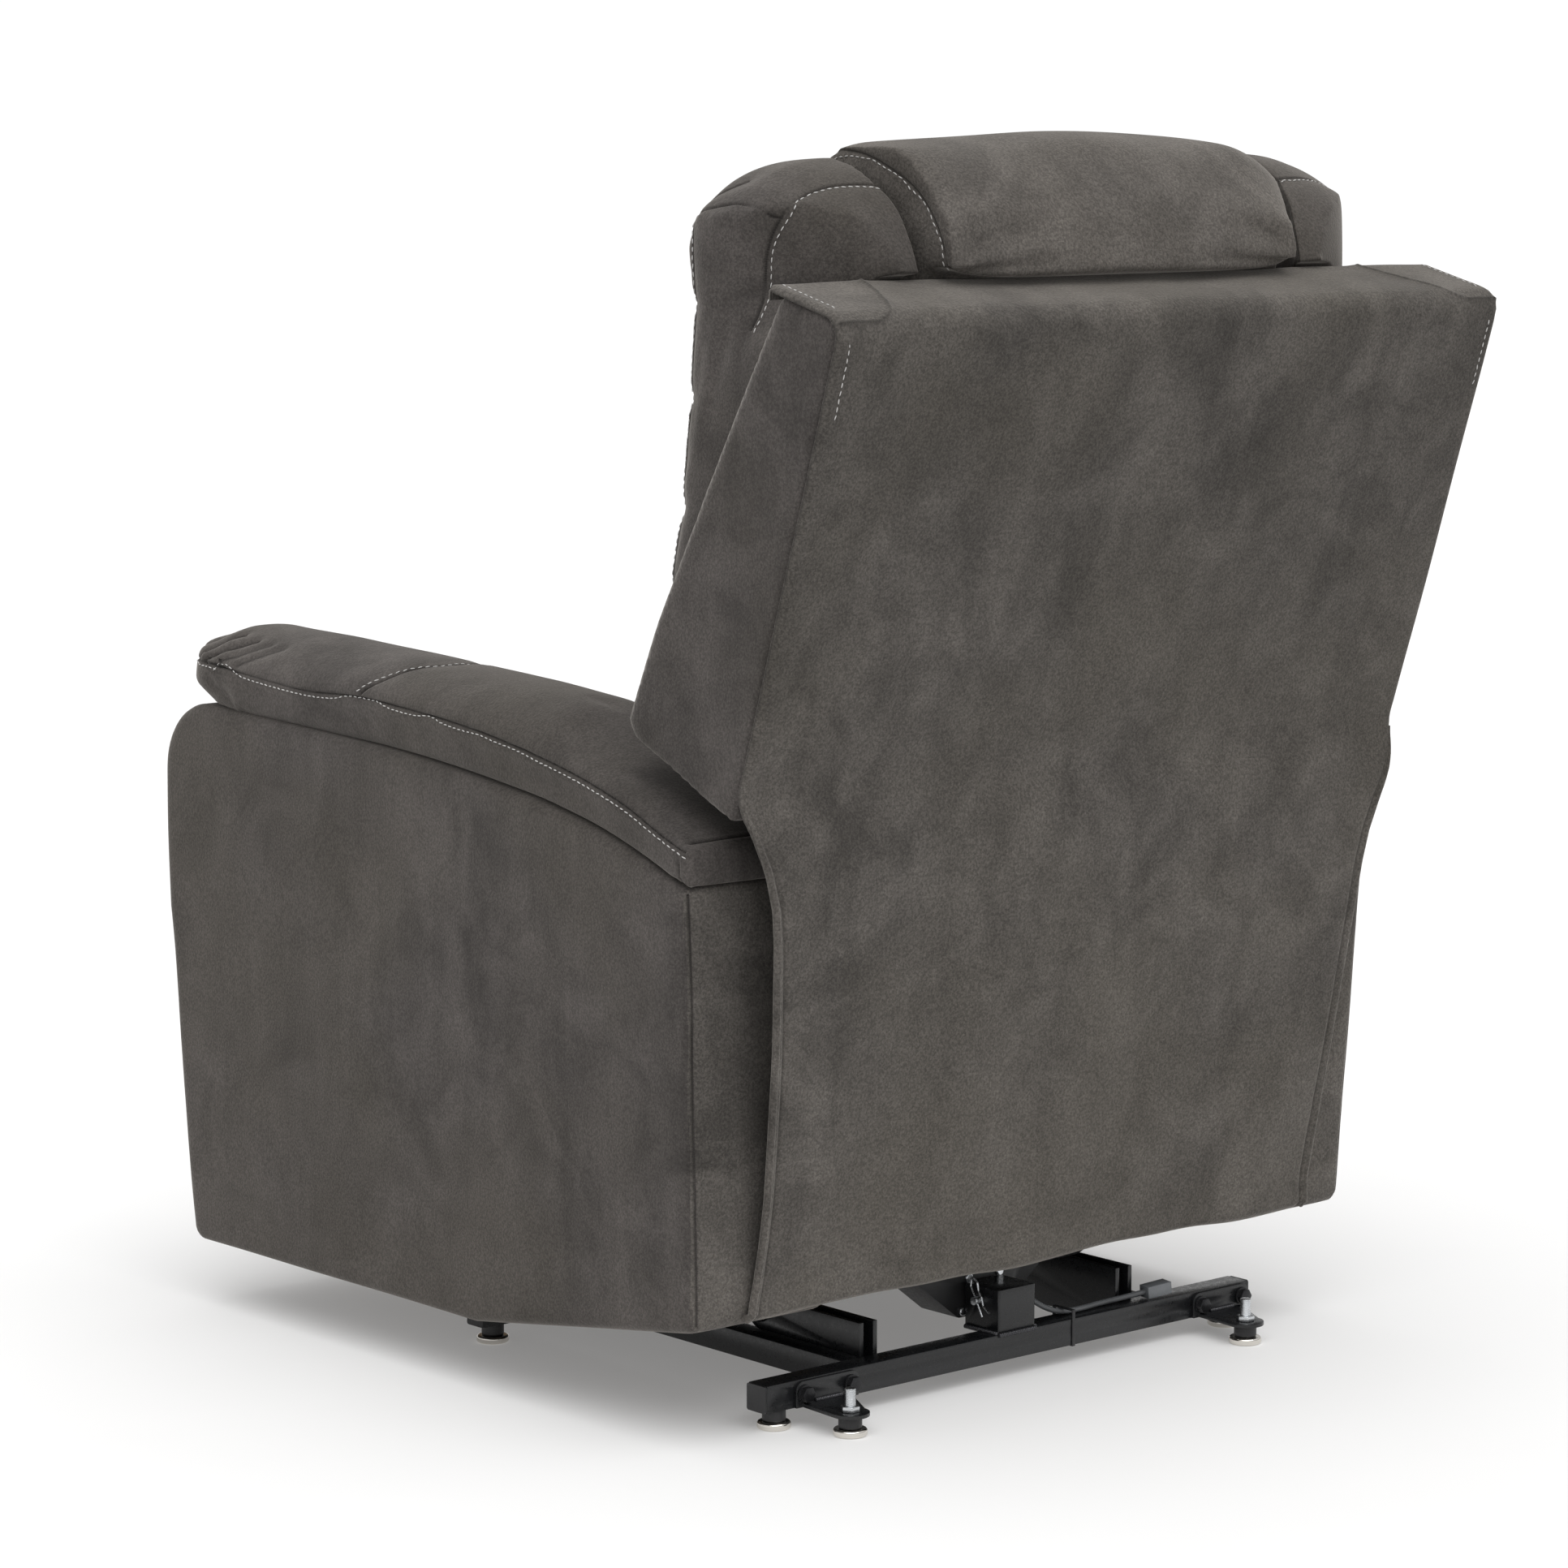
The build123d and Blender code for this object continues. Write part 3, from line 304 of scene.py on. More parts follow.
# %% Row nodes
def make_row_nodes(name, material, sides, pitch, length, thickness, lean):
    """A node group for one kind of row. Sizes are in millimetres, and lean is how far balls turn aside."""
    tree = bpy.data.node_groups.new(name, "GeometryNodeTree")
    tree.interface.new_socket("Line", in_out="INPUT", socket_type="NodeSocketGeometry")
    for label, value in (("Pitch", pitch), ("Length", length), ("Thickness", thickness)):
        socket = tree.interface.new_socket(label, in_out="INPUT", socket_type="NodeSocketFloat")
        socket.default_value = value * mm
    tree.interface.new_socket("Seed", in_out="INPUT", socket_type="NodeSocketInt").default_value = 7
    tree.interface.new_socket("Geometry", in_out="OUTPUT", socket_type="NodeSocketGeometry")
    given = node(tree, "NodeGroupInput")
    spaced = node(tree, "GeometryNodeResampleCurve", {"Curve": given.outputs["Line"],
                                                      "Length": given.outputs["Pitch"]}, mode="LENGTH")
    ball = node(tree, "GeometryNodeMeshUVSphere", {"Segments": sides, "Rings": max(4, sides // 2),
                                                   "Radius": 0.5})
    wide = given.outputs["Thickness"]
    size = node(tree, "ShaderNodeCombineXYZ", {"X": wide, "Y": wide, "Z": given.outputs["Length"]})
    bead = node(tree, "GeometryNodeTransform", {"Geometry": ball.outputs["Mesh"], "Scale": size.outputs[0]})
    along = node(tree, "GeometryNodeInputTangent")
    slant = node(tree, "FunctionNodeRandomValue",
                 {0: grey(-lean), 1: grey(lean), "Seed": given.outputs["Seed"]}, data_type="FLOAT_VECTOR")
    leaning = node(tree, "ShaderNodeVectorMath", {0: along.outputs[0], 1: slant.outputs[0]}, operation="ADD")
    turned = node(tree, "FunctionNodeAlignRotationToVector", {"Vector": leaning.outputs[0]}, axis="Z")
    laid = node(tree, "GeometryNodeInstanceOnPoints",
                {"Points": spaced.outputs[0], "Instance": bead.outputs[0], "Rotation": turned.outputs[0]})
    real = node(tree, "GeometryNodeRealizeInstances", {"Geometry": laid.outputs[0]})
    coated = node(tree, "GeometryNodeSetMaterial", {"Geometry": real.outputs[0], "Material": material})
    result = node(tree, "NodeGroupOutput")
    tree.links.new(coated.outputs[0], result.inputs[0])
    return tree


topstitch = make_row_nodes("topstitch", thread, sides=6, pitch=7.2, length=5.0, thickness=1.2, lean=0.16)
weld_bead = make_row_nodes("weld_bead", weld_coat, sides=10, pitch=2.1, length=3.0, thickness=5.0, lean=0.25)
thread_rings = make_row_nodes("thread_rings", zinc, sides=16, pitch=1.5, length=1.3, thickness=11.0, lean=0.0)
print("row groups:", topstitch.name, weld_bead.name, thread_rings.name)


# %% Curves, and rows laid along them
def curve_of(name, lines, kind="POLY", diameter=0.0):
    """A curve object through lines of points in metres, round and closed where it has a diameter."""
    curve = bpy.data.curves.new(name, "CURVE")
    curve.dimensions = "3D"
    curve.bevel_depth = diameter / 2
    curve.use_fill_caps = diameter > 0
    for line in lines:
        spline = curve.splines.new(kind)
        spline.points.add(len(line) - 1)
        for point, where in zip(spline.points, line):
            point.co = (*where, 1)
    made = bpy.data.objects.new(name, curve)
    scene.collection.objects.link(made)
    return made


def mesh_of(maker):
    """The finished mesh of an object that was only made to get it; the object goes."""
    graph = bpy.context.evaluated_depsgraph_get()
    mesh = bpy.data.meshes.new_from_object(maker.evaluated_get(graph))
    bpy.data.objects.remove(maker)
    return mesh


def row_mesh(kind, lines, seed=7):
    """The mesh of a row group laid along lines of points, which are in metres."""
    carrier = curve_of("row_line", lines)
    nodes = carrier.modifiers.new("row", "NODES")
    nodes.node_group = kind
    sockets = {item.name: item.identifier for item in kind.interface.items_tree}
    nodes[sockets["Seed"]] = seed
    return mesh_of(carrier)


def join_mesh(piece, added, material):
    """Adds a mesh to a piece, under a material of its own."""
    both = bmesh.new()
    both.from_mesh(piece.data)
    own_faces = len(both.faces)
    both.from_mesh(added)
    both.faces.ensure_lookup_table()
    slot_index = len(piece.data.materials)
    for face in both.faces[own_faces:]:
        face.material_index = slot_index
        face.smooth = True
    both.to_mesh(piece.data)
    both.free()
    piece.data.materials.append(material)


print("rows take their lines from curves")

# %% [markdown]
# ## Hard pieces
# Every steel, plastic and wooden piece already has its true shape in the model. A real edge is never
# perfectly sharp, and the thin bright line along it tells the eye that it is metal. So most hard pieces are
# copied, their loose triangles are welded, and their edges get a small bevel; the rest only get a finish.

# %% Pieces and what they stand for
bodies = frame["record"]["behaviour"]["bodies"]
body_of_node = {name: body for body, names in bodies.items() for name in names}
slot_of_node = {entry["node"]: entry["material_slot"] for entry in frame["record"]["subparts"]}


def finished(piece):
    """Turns modifiers into a plain mesh."""
    graph = bpy.context.evaluated_depsgraph_get()
    mesh = bpy.data.meshes.new_from_object(piece.evaluated_get(graph))
    piece.modifiers.clear()
    piece.data = mesh


def shaded_smooth(piece):
    for polygon in piece.data.polygons:
        polygon.use_smooth = True


def new_piece(name, mesh, material=None):
    piece = bpy.data.objects.new(name, mesh)
    scene.collection.objects.link(piece)
    if material:
        mesh.materials.clear()
        mesh.materials.append(material)
    return piece


def mesh_points(mesh):
    flat = np.empty(len(mesh.vertices) * 3)
    mesh.vertices.foreach_get("co", flat)
    return flat.reshape(-1, 3)


def points_of(piece):
    return mesh_points(piece.data)


def move_points(piece, points):
    piece.data.vertices.foreach_set("co", np.ascontiguousarray(points).ravel())
    piece.data.update()


def adopt(piece, cad_node):
    """The piece takes the body of a CAD node, and the node is hidden."""
    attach(piece, body_of_node[cad_node])
    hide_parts(cad_node)


print("nodes with a body:", len(body_of_node))

# %% Softened edges
weld_lines = [[(-23, 308, 44), (23, 308, 44)]]
for side in (1, -1):
    weld_lines.append([(side * 25, 262, 45), (side * 25, 305, 45)])
plate_welds = [[(middle - 15, 311.8, 23.2), (middle + 15, 311.8, 23.2)] for middle in (242.5, -273.5)]
stud_lines = [[(x, 358.8, 28.2), (x, 358.8, 43.4)] for x in (258, -258)]
rows_of_node = {"drive_post": (weld_bead, weld_lines, weld_coat),
                "outrigger_brackets": (weld_bead, plate_welds, weld_coat),
                "foot_studs": (thread_rings, stud_lines, zinc)}
button_end, button_cut = 0.4 * mm, 0.7 * mm
merged_within = 0.00002
flat_below, bevelled_from, sharp_from = math.radians(1.0), math.radians(28), math.radians(32)


def softened(name, material, width):
    """A copy of a hard solid with bevelled edges. A button's hidden end is cut to clear its well."""
    mesh = frame["nodes"][name].data.copy()
    solid = bmesh.new()
    solid.from_mesh(mesh)
    bmesh.ops.remove_doubles(solid, verts=solid.verts, dist=merged_within)
    bmesh.ops.dissolve_limit(solid, angle_limit=flat_below, verts=solid.verts, edges=solid.edges)
    bmesh.ops.recalc_face_normals(solid, faces=solid.faces)
    solid.to_mesh(mesh)
    solid.free()
    piece = new_piece(name + "_finished", mesh, material)
    bevel = piece.modifiers.new("edges", "BEVEL")
    bevel.width = width
    bevel.segments = 2
    bevel.limit_method = "ANGLE"
    bevel.angle_limit = bevelled_from
    bevel.use_clamp_overlap = True
    finished(piece)
    if name.endswith("button"):
        points = points_of(piece)
        points[points[:, 0] > points[:, 0].max() - button_end, 0] -= button_cut
        move_points(piece, points)
    shaded_smooth(piece)
    piece.data.set_sharp_from_angle(angle=sharp_from)
    if name in rows_of_node:
        kind, lines, coat = rows_of_node[name]
        lines = [[Vector(point) * mm for point in line] for line in lines]
        join_mesh(piece, row_mesh(kind, lines), coat)
    adopt(piece, name)


finish_of_slot = {"black_steel": black_steel, "black_bolts": black_oxide, "chrome_glide": chrome,
                  "zinc": zinc, "black_plastic": black_plastic, "grey_plastic": grey_plastic,
                  "grey_lead": lead_jacket, "plywood": plywood, "spring_steel": spring_steel}
bevels = {1.6: ("base_rear_tube", "base_front_tube", "base_rails"), 0.8: ("drive_post",),
          1.5: ("lift_drive_housing", "seat_box", "back_frame", "footrest_board"), 0.6: ("hand_control",),
          0.3: ("raise_button", "lower_button", "clevis_pin", "cable_tie"), 0.2: ("drive_screws",),
          0.0: ("r_clip", "seat_springs")}
bevel_of_node = {name: width * mm for width, names in bevels.items() for name in names}
usual_bevel = 0.7 * mm
hard_nodes = [name for name, slot in slot_of_node.items() if slot in finish_of_slot and name != "power_lead"]
for name in hard_nodes:
    width = bevel_of_node.get(name, usual_bevel)
    if width:
        softened(name, finish_of_slot[slot_of_node[name]], width)
    else:
        carried = frame["nodes"][name]
        carried.data.materials.clear()
        carried.data.materials.append(finish_of_slot[slot_of_node[name]])
print("hard pieces:", len(hard_nodes))

# %% [markdown]
# ## The drive's lead
# A short lead runs from the gear case over the rear tube to a small plug. It is one smooth spline through
# the points that the model's tube follows, with a round section.

# %% Lead
lead_points = [(-36, 262, 74), (-38, 272, 70), (-45, 281, 62), (-57, 287, 53.5), (-74, 290, 47.6),
               (-100, 291, 47), (-130, 287, 47.2), (-160, 289, 48), (-184, 293, 50.3)]
lead_diameter = 5.5 * mm
lead_line = [tuple(value * mm for value in point) for point in lead_points]
lead = curve_of("drive_lead", [lead_line], "NURBS", lead_diameter)
lead.data.bevel_resolution = 4
lead.data.resolution_u = 12
lead.data.splines[0].order_u = 3
lead.data.splines[0].use_endpoint_u = True
lead.data.materials.append(lead_jacket)
adopt(lead, "power_lead")
print("lead points:", len(lead_points))

# %% [markdown]
# ## Soft shapes
# A soft piece starts as a copy of its solid, is rebuilt as an even net of small squares, and gets rounded.
# Padded pieces are then blown up by a cloth simulation whose seams are held, so the fabric rises between
# them. How far a point may rise is capped, and no piece may pass the planes of its neighbours.


# %% Small helpers for points
def rising(value, start, end):
    """0 up to start, 1 from end on, and a straight line between them."""
    return np.clip((value - start) / (end - start), 0, 1)


def falling(value, start, end):
    """1 up to start, 0 from end on, and a straight line between them."""
    return np.clip((end - value) / (end - start), 0, 1)


def bell(value, width):
    return np.exp(-(value / width) ** 2)


def from_table(value, table):
    """What belongs to a value, by straight lines between the pairs of a table."""
    return np.interp(value, *zip(*table))


def in_mm(points):
    """X, Y and Z of all points, in millimetres."""
    return points.T / mm


def mirrored(points):
    return [(-x, y, z) for x, y, z in points]


def on_side(side, lines):
    """Lines drawn for the sitter's left, or their mirror images where the side is -1."""
    return [mirrored(line) if side < 0 else list(line) for line in lines]


def normals_of(piece):
    flat = np.empty(len(piece.data.vertices) * 3)
    piece.data.vertex_normals.foreach_get("vector", flat)
    return flat.reshape(-1, 3)


print("points are read and moved by helpers, in metres")


# %% Soft copies
def slab_mesh(name, outline, x_start, x_end):
    """A closed slab: a side view outline in millimetres, drawn out along X."""
    ends = [[Vector((x, y, z)) * mm for y, z in outline] for x in (x_start, x_end)]
    solid = bmesh.new()
    rings = [[solid.verts.new(point) for point in end] for end in ends]
    count = len(outline)
    for ring in rings:
        solid.faces.new(ring)
    for index in range(count):
        after = (index + 1) % count
        solid.faces.new((rings[0][index], rings[0][after], rings[1][after], rings[1][index]))
    bmesh.ops.recalc_face_normals(solid, faces=solid.faces)
    mesh = bpy.data.meshes.new(name)
    solid.to_mesh(mesh)
    solid.free()
    return mesh


def soft_copy(name, voxel, passes, outline=None):
    """An even, rounded net in the shape of a soft solid, or of an outline that is fuller than it."""
    mesh = slab_mesh(name, *outline) if outline else frame["nodes"][name].data.copy()
    true_shape = new_piece(name + "_true", mesh.copy())
    piece = new_piece(name + "_cloth", mesh)
    piece.data.materials.clear()
    even = piece.modifiers.new("even", "REMESH")
    even.mode = "VOXEL"
    even.voxel_size = voxel * mm
    snapped = piece.modifiers.new("snapped", "SHRINKWRAP")
    snapped.target = true_shape
    rounded = piece.modifiers.new("rounded", "SMOOTH")
    rounded.factor = 0.5
    rounded.iterations = passes
    finished(piece)
    bpy.data.objects.remove(true_shape)
    shaded_smooth(piece)
    return piece


hollow_reach = 1.2


def round_edges(piece, name, radius):
    """Lays the corners of a slab-like piece on an arc, so that its net shows no steps along them.

    Corners inside a hollow, where a ray away from the wall meets the piece again, are left alone.
    """
    surface = surface_of(frame["nodes"][name])
    low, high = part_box(name)
    middle, half = (low[0] + high[0]) / 2, (high[0] - low[0]) / 2
    arc = radius * mm
    points = points_of(piece)
    for index, (x, y, z) in enumerate(points):
        depth = half - abs(x - middle)
        if depth > arc:
            continue
        wall, normal = surface.find_nearest(Vector((middle, y, z)))[:2]
        in_hollow = surface.ray_cast(wall + normal * mm, normal, hollow_reach)[0] is not None
        if abs(normal.x) > 0.1 or in_hollow:
            continue
        inward = (wall - Vector((middle, y, z))).dot(normal)
        reach = math.hypot(arc - depth, arc - inward)
        if -4 * mm < inward < arc and reach > 0:
            points[index, 0] = middle + math.copysign(half - arc + (arc - depth) * arc / reach, x - middle)
            moved = (arc - inward) * (arc / reach - 1)
            points[index, 1] += normal.y * moved
            points[index, 2] += normal.z * moved
    move_points(piece, points)


print("soft copies are nets of even squares")


# %% Seams and topstitch
stitch_gap, thread_lift = 4.0, 0.35


def smooth_line(points, step=2.0):
    """Close points along a smooth line through the given ones, from millimetres to metres."""
    given = [Vector(point) for point in points]
    ends = [2 * given[0] - given[1]] + given + [2 * given[-1] - given[-2]]
    line = []
    for before, start, end, after in zip(ends, ends[1:], ends[2:], ends[3:]):
        count = max(1, int((end - start).length / step))
        for index in range(count):
            t = index / count
            square = 2 * before - 5 * start + 4 * end - after
            cube = 3 * start - before - 3 * end + after
            line.append(0.5 * (2 * start + (end - before) * t + square * t ** 2 + cube * t ** 3))
    line.append(given[-1])
    return [point * mm for point in line]


def surface_of(piece):
    vertices = [vertex.co.copy() for vertex in piece.data.vertices]
    return BVHTree.FromPolygons(vertices, [tuple(polygon.vertices) for polygon in piece.data.polygons])


def laid_on(surface, line):
    """The line pressed onto the surface, with the surface's direction at each point."""
    pressed = [surface.find_nearest(point) for point in line]
    return [(hit[0], hit[1]) for hit in pressed if hit[0] is not None]


def evened(vectors, reach):
    """Each vector averaged with its neighbours, which takes the jitter out of a line."""
    even = []
    for index in range(len(vectors)):
        span = min(reach, index, len(vectors) - 1 - index)
        group = vectors[index - span:index + span + 1]
        even.append(sum(group, Vector()) / len(group))
    return even


def beside(surface, pressed, offset):
    """A line that keeps a distance from a pressed one, on its left for a positive offset."""
    line = evened([point for point, _ in pressed], 12)
    normals = evened([normal for _, normal in pressed], 12)
    moved = []
    for index, (point, normal) in enumerate(zip(line, normals)):
        ahead = line[min(index + 4, len(line) - 1)] - line[max(index - 4, 0)]
        moved.append(point + normal.cross(ahead).normalized() * offset * mm)
    moved = [point for point, _ in laid_on(surface, evened(moved, 4))]
    return laid_on(surface, evened(moved, 4))


def distance_to(points, lines):
    """How far each point is from the nearest of the lines."""
    cloud_points = [point for line in lines for point in line]
    tree = KDTree(len(cloud_points))
    for index, point in enumerate(cloud_points):
        tree.insert(point, index)
    tree.balance()
    return np.array([tree.find(point)[2] for point in points])


def refine_near(piece, lines, reaches):
    """Divides the net near the lines, once for each reach, so that a narrow seam has enough points."""
    net = bmesh.new()
    net.from_mesh(piece.data)
    for reach in reaches:
        net.verts.ensure_lookup_table()
        far = distance_to([vertex.co for vertex in net.verts], lines)
        near = set(np.flatnonzero(far < reach * mm).tolist())
        edges = [edge for edge in net.edges if edge.verts[0].index in near or edge.verts[1].index in near]
        bmesh.ops.subdivide_edges(net, edges=edges, cuts=1, use_grid_fill=True)
        wide = [face for face in net.faces if len(face.verts) > 4]
        bmesh.ops.triangulate(net, faces=wide)
        net.verts.index_update()
    net.to_mesh(piece.data)
    net.free()


def lines_on(piece, seams):
    """Seams as smooth lines of close points on the piece."""
    surface = surface_of(piece)
    return [evened([point for point, _ in laid_on(surface, smooth_line(seam))], 8) for seam in seams]


def sew(piece, seams, depth=1.9, pull=1.3, spread=12.0, reaches=(11.0, 6.0, 2.4)):
    """Presses seams into the cloth: a narrow valley, with a wide soft pull on both sides."""
    lines = lines_on(piece, seams)
    refine_near(piece, lines, reaches)
    points = points_of(piece)
    far = distance_to(points, lines) / mm
    sink = depth * bell(far, 1.7) + pull * bell(far, spread)
    move_points(piece, points - normals_of(piece) * (sink * mm)[:, None])
    # Painted shade along the seam's groove, kept in the seam attribute that the suede reads.
    seam_shade = 0.80 * bell(far, 1.3) + 0.16 * bell(far, 6.0)
    layer = piece.data.attributes.get("seam") or piece.data.attributes.new("seam", "FLOAT", "POINT")
    before = np.zeros(len(points))
    layer.data.foreach_get("value", before)
    layer.data.foreach_set("value", np.clip(before + seam_shade, 0, 1))


def stitch_on(piece, lines, seed):
    """Adds topstitch to a piece: each line is points and an offset from the seam in millimetres."""
    surface = surface_of(piece)
    raised = []
    for points, offset in lines:
        pressed = beside(surface, laid_on(surface, smooth_line(points)), offset)
        raised.append([where + normal * thread_lift * mm for where, normal in pressed])
    join_mesh(piece, row_mesh(topstitch, raised, seed), thread)


def waves(points, size, seed):
    """Slow unevenness of padding under cloth, between about -1 and 1."""
    total = np.zeros(len(points))
    chance = random.Random(seed)
    for _ in range(9):
        direction = Vector((chance.uniform(-1, 1), chance.uniform(-1, 1), chance.uniform(-1, 1))).normalized()
        reach = size * chance.uniform(0.6, 1.8)
        total += np.sin(points @ np.array(direction) * (2 * math.pi / reach) + chance.uniform(0, 6.28))
    return total / 4.5


print("seams and topstitch follow smooth lines")

# %% [markdown]
# ## Blowing up the cushions
# All padded pieces are simulated in one run of twenty frames. Each has its own limit on how far it may
# rise, the lines at which the cover is sewn down, and the planes that it has to stay behind.


# %% Cushion recipe
cloth_frames, quick_rise = 20, 0.35
cloth_settings = dict(quality=5, mass=0.3, tension_stiffness=18, compression_stiffness=18, shear_stiffness=8,
                      bending_stiffness=1.2, use_pressure=True, uniform_pressure_force=4.0,
                      vertex_group_mass="held")


def kept_behind(points, planes):
    """Presses points back behind planes, each given by a direction and a distance in millimetres."""
    for direction, distance, softness in planes:
        direction = np.array(direction, float)
        direction /= np.linalg.norm(direction)
        over = points @ direction / mm - distance + softness
        pressed = np.where(over > 0, softness * (1 - np.exp(-over / softness)), over)
        points = points + direction * ((pressed - over) * mm)[:, None]
    return points


def prepare_cushion(name, voxel, passes, inset, held, hold=7.0, shape=None, outline=None, edge=0.0):
    """The net of a cushion before it is blown up, a little smaller, with its seams in the group held."""
    piece = soft_copy(name, voxel, passes, outline)
    if edge:
        round_edges(piece, name, edge)
    points = points_of(piece) - normals_of(piece) * inset * mm
    if shape:
        points = shape(points)
    move_points(piece, points)
    far = distance_to(points, [smooth_line(line, 4.0) for line in held])
    piece.vertex_groups.new(name="held").add(np.flatnonzero(far < hold * mm).tolist(), 1.0, "REPLACE")
    return piece


def blow_up(cushions):
    """A run of cloth under pressure for all cushions, each with its own cap in millimetres."""
    starts = {piece: points_of(piece) for piece, _ in cushions}
    for piece, _ in cushions:
        cloth = piece.modifiers.new("cloth", "CLOTH")
        for key, value in cloth_settings.items():
            setattr(cloth.settings, key, value)
        cloth.settings.effector_weights.gravity = 0
        cloth.point_cache.frame_start = 1
        cloth.point_cache.frame_end = cloth_frames
    for number in range(1, cloth_frames + 1):
        scene.frame_set(number)
    graph = bpy.context.evaluated_depsgraph_get()
    ends = {}
    for piece, _ in cushions:
        ends[piece] = mesh_points(piece.evaluated_get(graph).to_mesh())
        piece.evaluated_get(graph).to_mesh_clear()
    for piece, cap in cushions:
        piece.modifiers.clear()
        rise = ends[piece] - starts[piece]
        length = np.linalg.norm(rise, axis=1) + 1e-9
        allowed = cap * mm * np.tanh(length / (cap * mm))
        move_points(piece, starts[piece] + rise * (allowed / length)[:, None])
    scene.frame_set(1)


def finer(piece):
    """One subdivision, which rounds what the squares leave angular."""
    level = piece.modifiers.new("finer", "SUBSURF")
    level.levels = 1
    level.render_levels = 1
    finished(piece)


print("cushions are blown up in", cloth_frames, "frames")

# %% [markdown]
# ## Arms
# The arm case is tight cloth over plywood, so it only gets a slow unevenness and its seams. The pad on top
# is crowned: its stitched side seam lies low, the middle is high, and the nose is gathered in pleats.


# %% Shape of the arms
pad_low = [(-600, 617.5), (-53, 592), (188, 565), (420, 480.6)]


def at(y, table):
    """Height, in metres, at a depth, from (depth, height) pairs in millimetres."""
    return from_table(y / mm, table) * mm


def eased(y):
    """How far the smoothed line between arm and pad lies from the model's straight pieces, in metres."""
    steps = np.linspace(-90, 90, 13) * mm
    return sum(at(y + step, pad_low) for step in steps) / len(steps) - at(y, pad_low)


def flared(points):
    """The arms swell outwards and backwards towards their upper rear end."""
    points = points.copy()
    x, y, z = in_mm(points)
    rise = rising(z, 120, 520)
    points[:, 0] += np.sign(x) * 17 * mm * rise * rising(np.abs(x), 330, 420) * rising(y, -150, 300)
    points[:, 1] += 23 * mm * rise * rising(y, 150, 320)
    return points


def leaned(points):
    """The right arm leans out a little more at its upper rear end, behind its pocket."""
    points = points.copy()
    x, y, z = in_mm(points)
    points[:, 0] -= 12 * mm * rising(z, 120, 520) * falling(x, -420, -330) * rising(y, 30, 280)
    return points


print("arms flare by 17 mm and 23 mm at their rear ends")

# %% Arm cases
rear_seam = [(433, 340, 514), (429, 340, 420), (425, 337, 294), (420, 335, 180), (418, 334, 116)]
front_line = [(-478, 560), (-490, 520), (-495, 471), (-494, 389), (-484, 298), (-468, 170), (-459, 80)]
front_seam, inner_seam = [[(x, y, z) for y, z in front_line] for x in (398, 284)]
eased_depth = 90 * mm
lit_facing_back, lit_rear_from = 0.6, 0.30

for name, side in (("arm_left", 1), ("arm_right", -1)):
    case = soft_copy(name, 6.0, 5)
    round_edges(case, name, 11.0)
    points = points_of(case)
    near_top = np.clip(1 - (at(points[:, 1], pad_low) - points[:, 2]) / eased_depth, 0, 1)
    points[:, 2] += near_top * eased(points[:, 1])
    points = flared(points)
    x, y, _ = in_mm(points)
    points[:, 1] -= 3.5 * mm * falling(y, -440, -380)
    uneven = waves(points, 0.26, 11 + side) * 1.5 * rising(x * side, 380, 410)
    points[:, 0] += side * (uneven - 0.3) * mm
    move_points(case, points)
    seams = on_side(side, [rear_seam, front_seam, inner_seam])
    sew(case, seams)
    case.data.materials.append(suede_shaded)
    case.data.materials.append(suede_lit_rear)
    # Faces that face the rear take the lighter rear copy of the suede, as painted light.
    for polygon in case.data.polygons:
        if polygon.normal.y > lit_facing_back and polygon.center.y > lit_rear_from:
            polygon.material_index = 1
    stitch_on(case, [(seams[1], stitch_gap), (seams[2], stitch_gap)], 21 + side)
    move_points(case, leaned(points_of(case)))
    adopt(case, name)
    print(name, len(case.data.polygons), "faces")

# %% Shape of the arm pads
pad_seam = [(-480, 653), (-404, 651), (-360, 647), (-313.2, 643), (-245.8, 638.8), (-166.7, 640.7),
            (-52.4, 634.9), (40.4, 626.1), (130.2, 612.4), (188.8, 599.7), (245.5, 582.1), (284.5, 564.6),
            (315.8, 552.8)]
pad_top = [(-514, 662), (-440, 680), (-399, 684), (-300, 678), (-190, 666), (-106, 664), (13, 657),
           (120, 648), (322, 554)]
pad_middle, pad_half = 344, 76
pad_outer, pad_inner = pad_middle + pad_half, pad_middle - pad_half
nose_radius, nose_back = 80, 30


def crown_pad(points):
    """Lowers the pad's shoulders to its side seams, and rounds its nose as seen from above."""
    points = points.copy()
    x, y, _ = in_mm(points)
    across = np.clip(np.abs(np.abs(x) - pad_middle) / pad_half, 0, 1.02)
    low, top = at(points[:, 1], pad_low), at(points[:, 1], pad_top)
    height = rising(points[:, 2], low, top)
    points[:, 2] += (1 - height) * eased(points[:, 1])
    points[:, 2] -= height ** 2 * (top - at(points[:, 1], pad_seam)) * across ** 2.6
    rounded = nose_radius - np.sqrt(nose_radius ** 2 - (pad_half * np.clip(across, 0, 1)) ** 2)
    points[:, 1] += (nose_back + rounded) * mm * falling(y, -485, -375)
    return flared(points)


def pad_seam_line(x):
    """The side seam, without its end in the nose, and following the flare of the outer side."""
    line = [(x, y, z) for y, z in pad_seam[1:]]
    if x < pad_middle:
        return line
    places = flared(np.array(line) * mm) / mm
    return [tuple(place) for place in places.tolist()]


def both_halves(lines):
    """The lines, and their mirror images beyond the pad's middle."""
    return lines + [[(2 * pad_middle - x, y, z) for x, y, z in line] for line in lines]


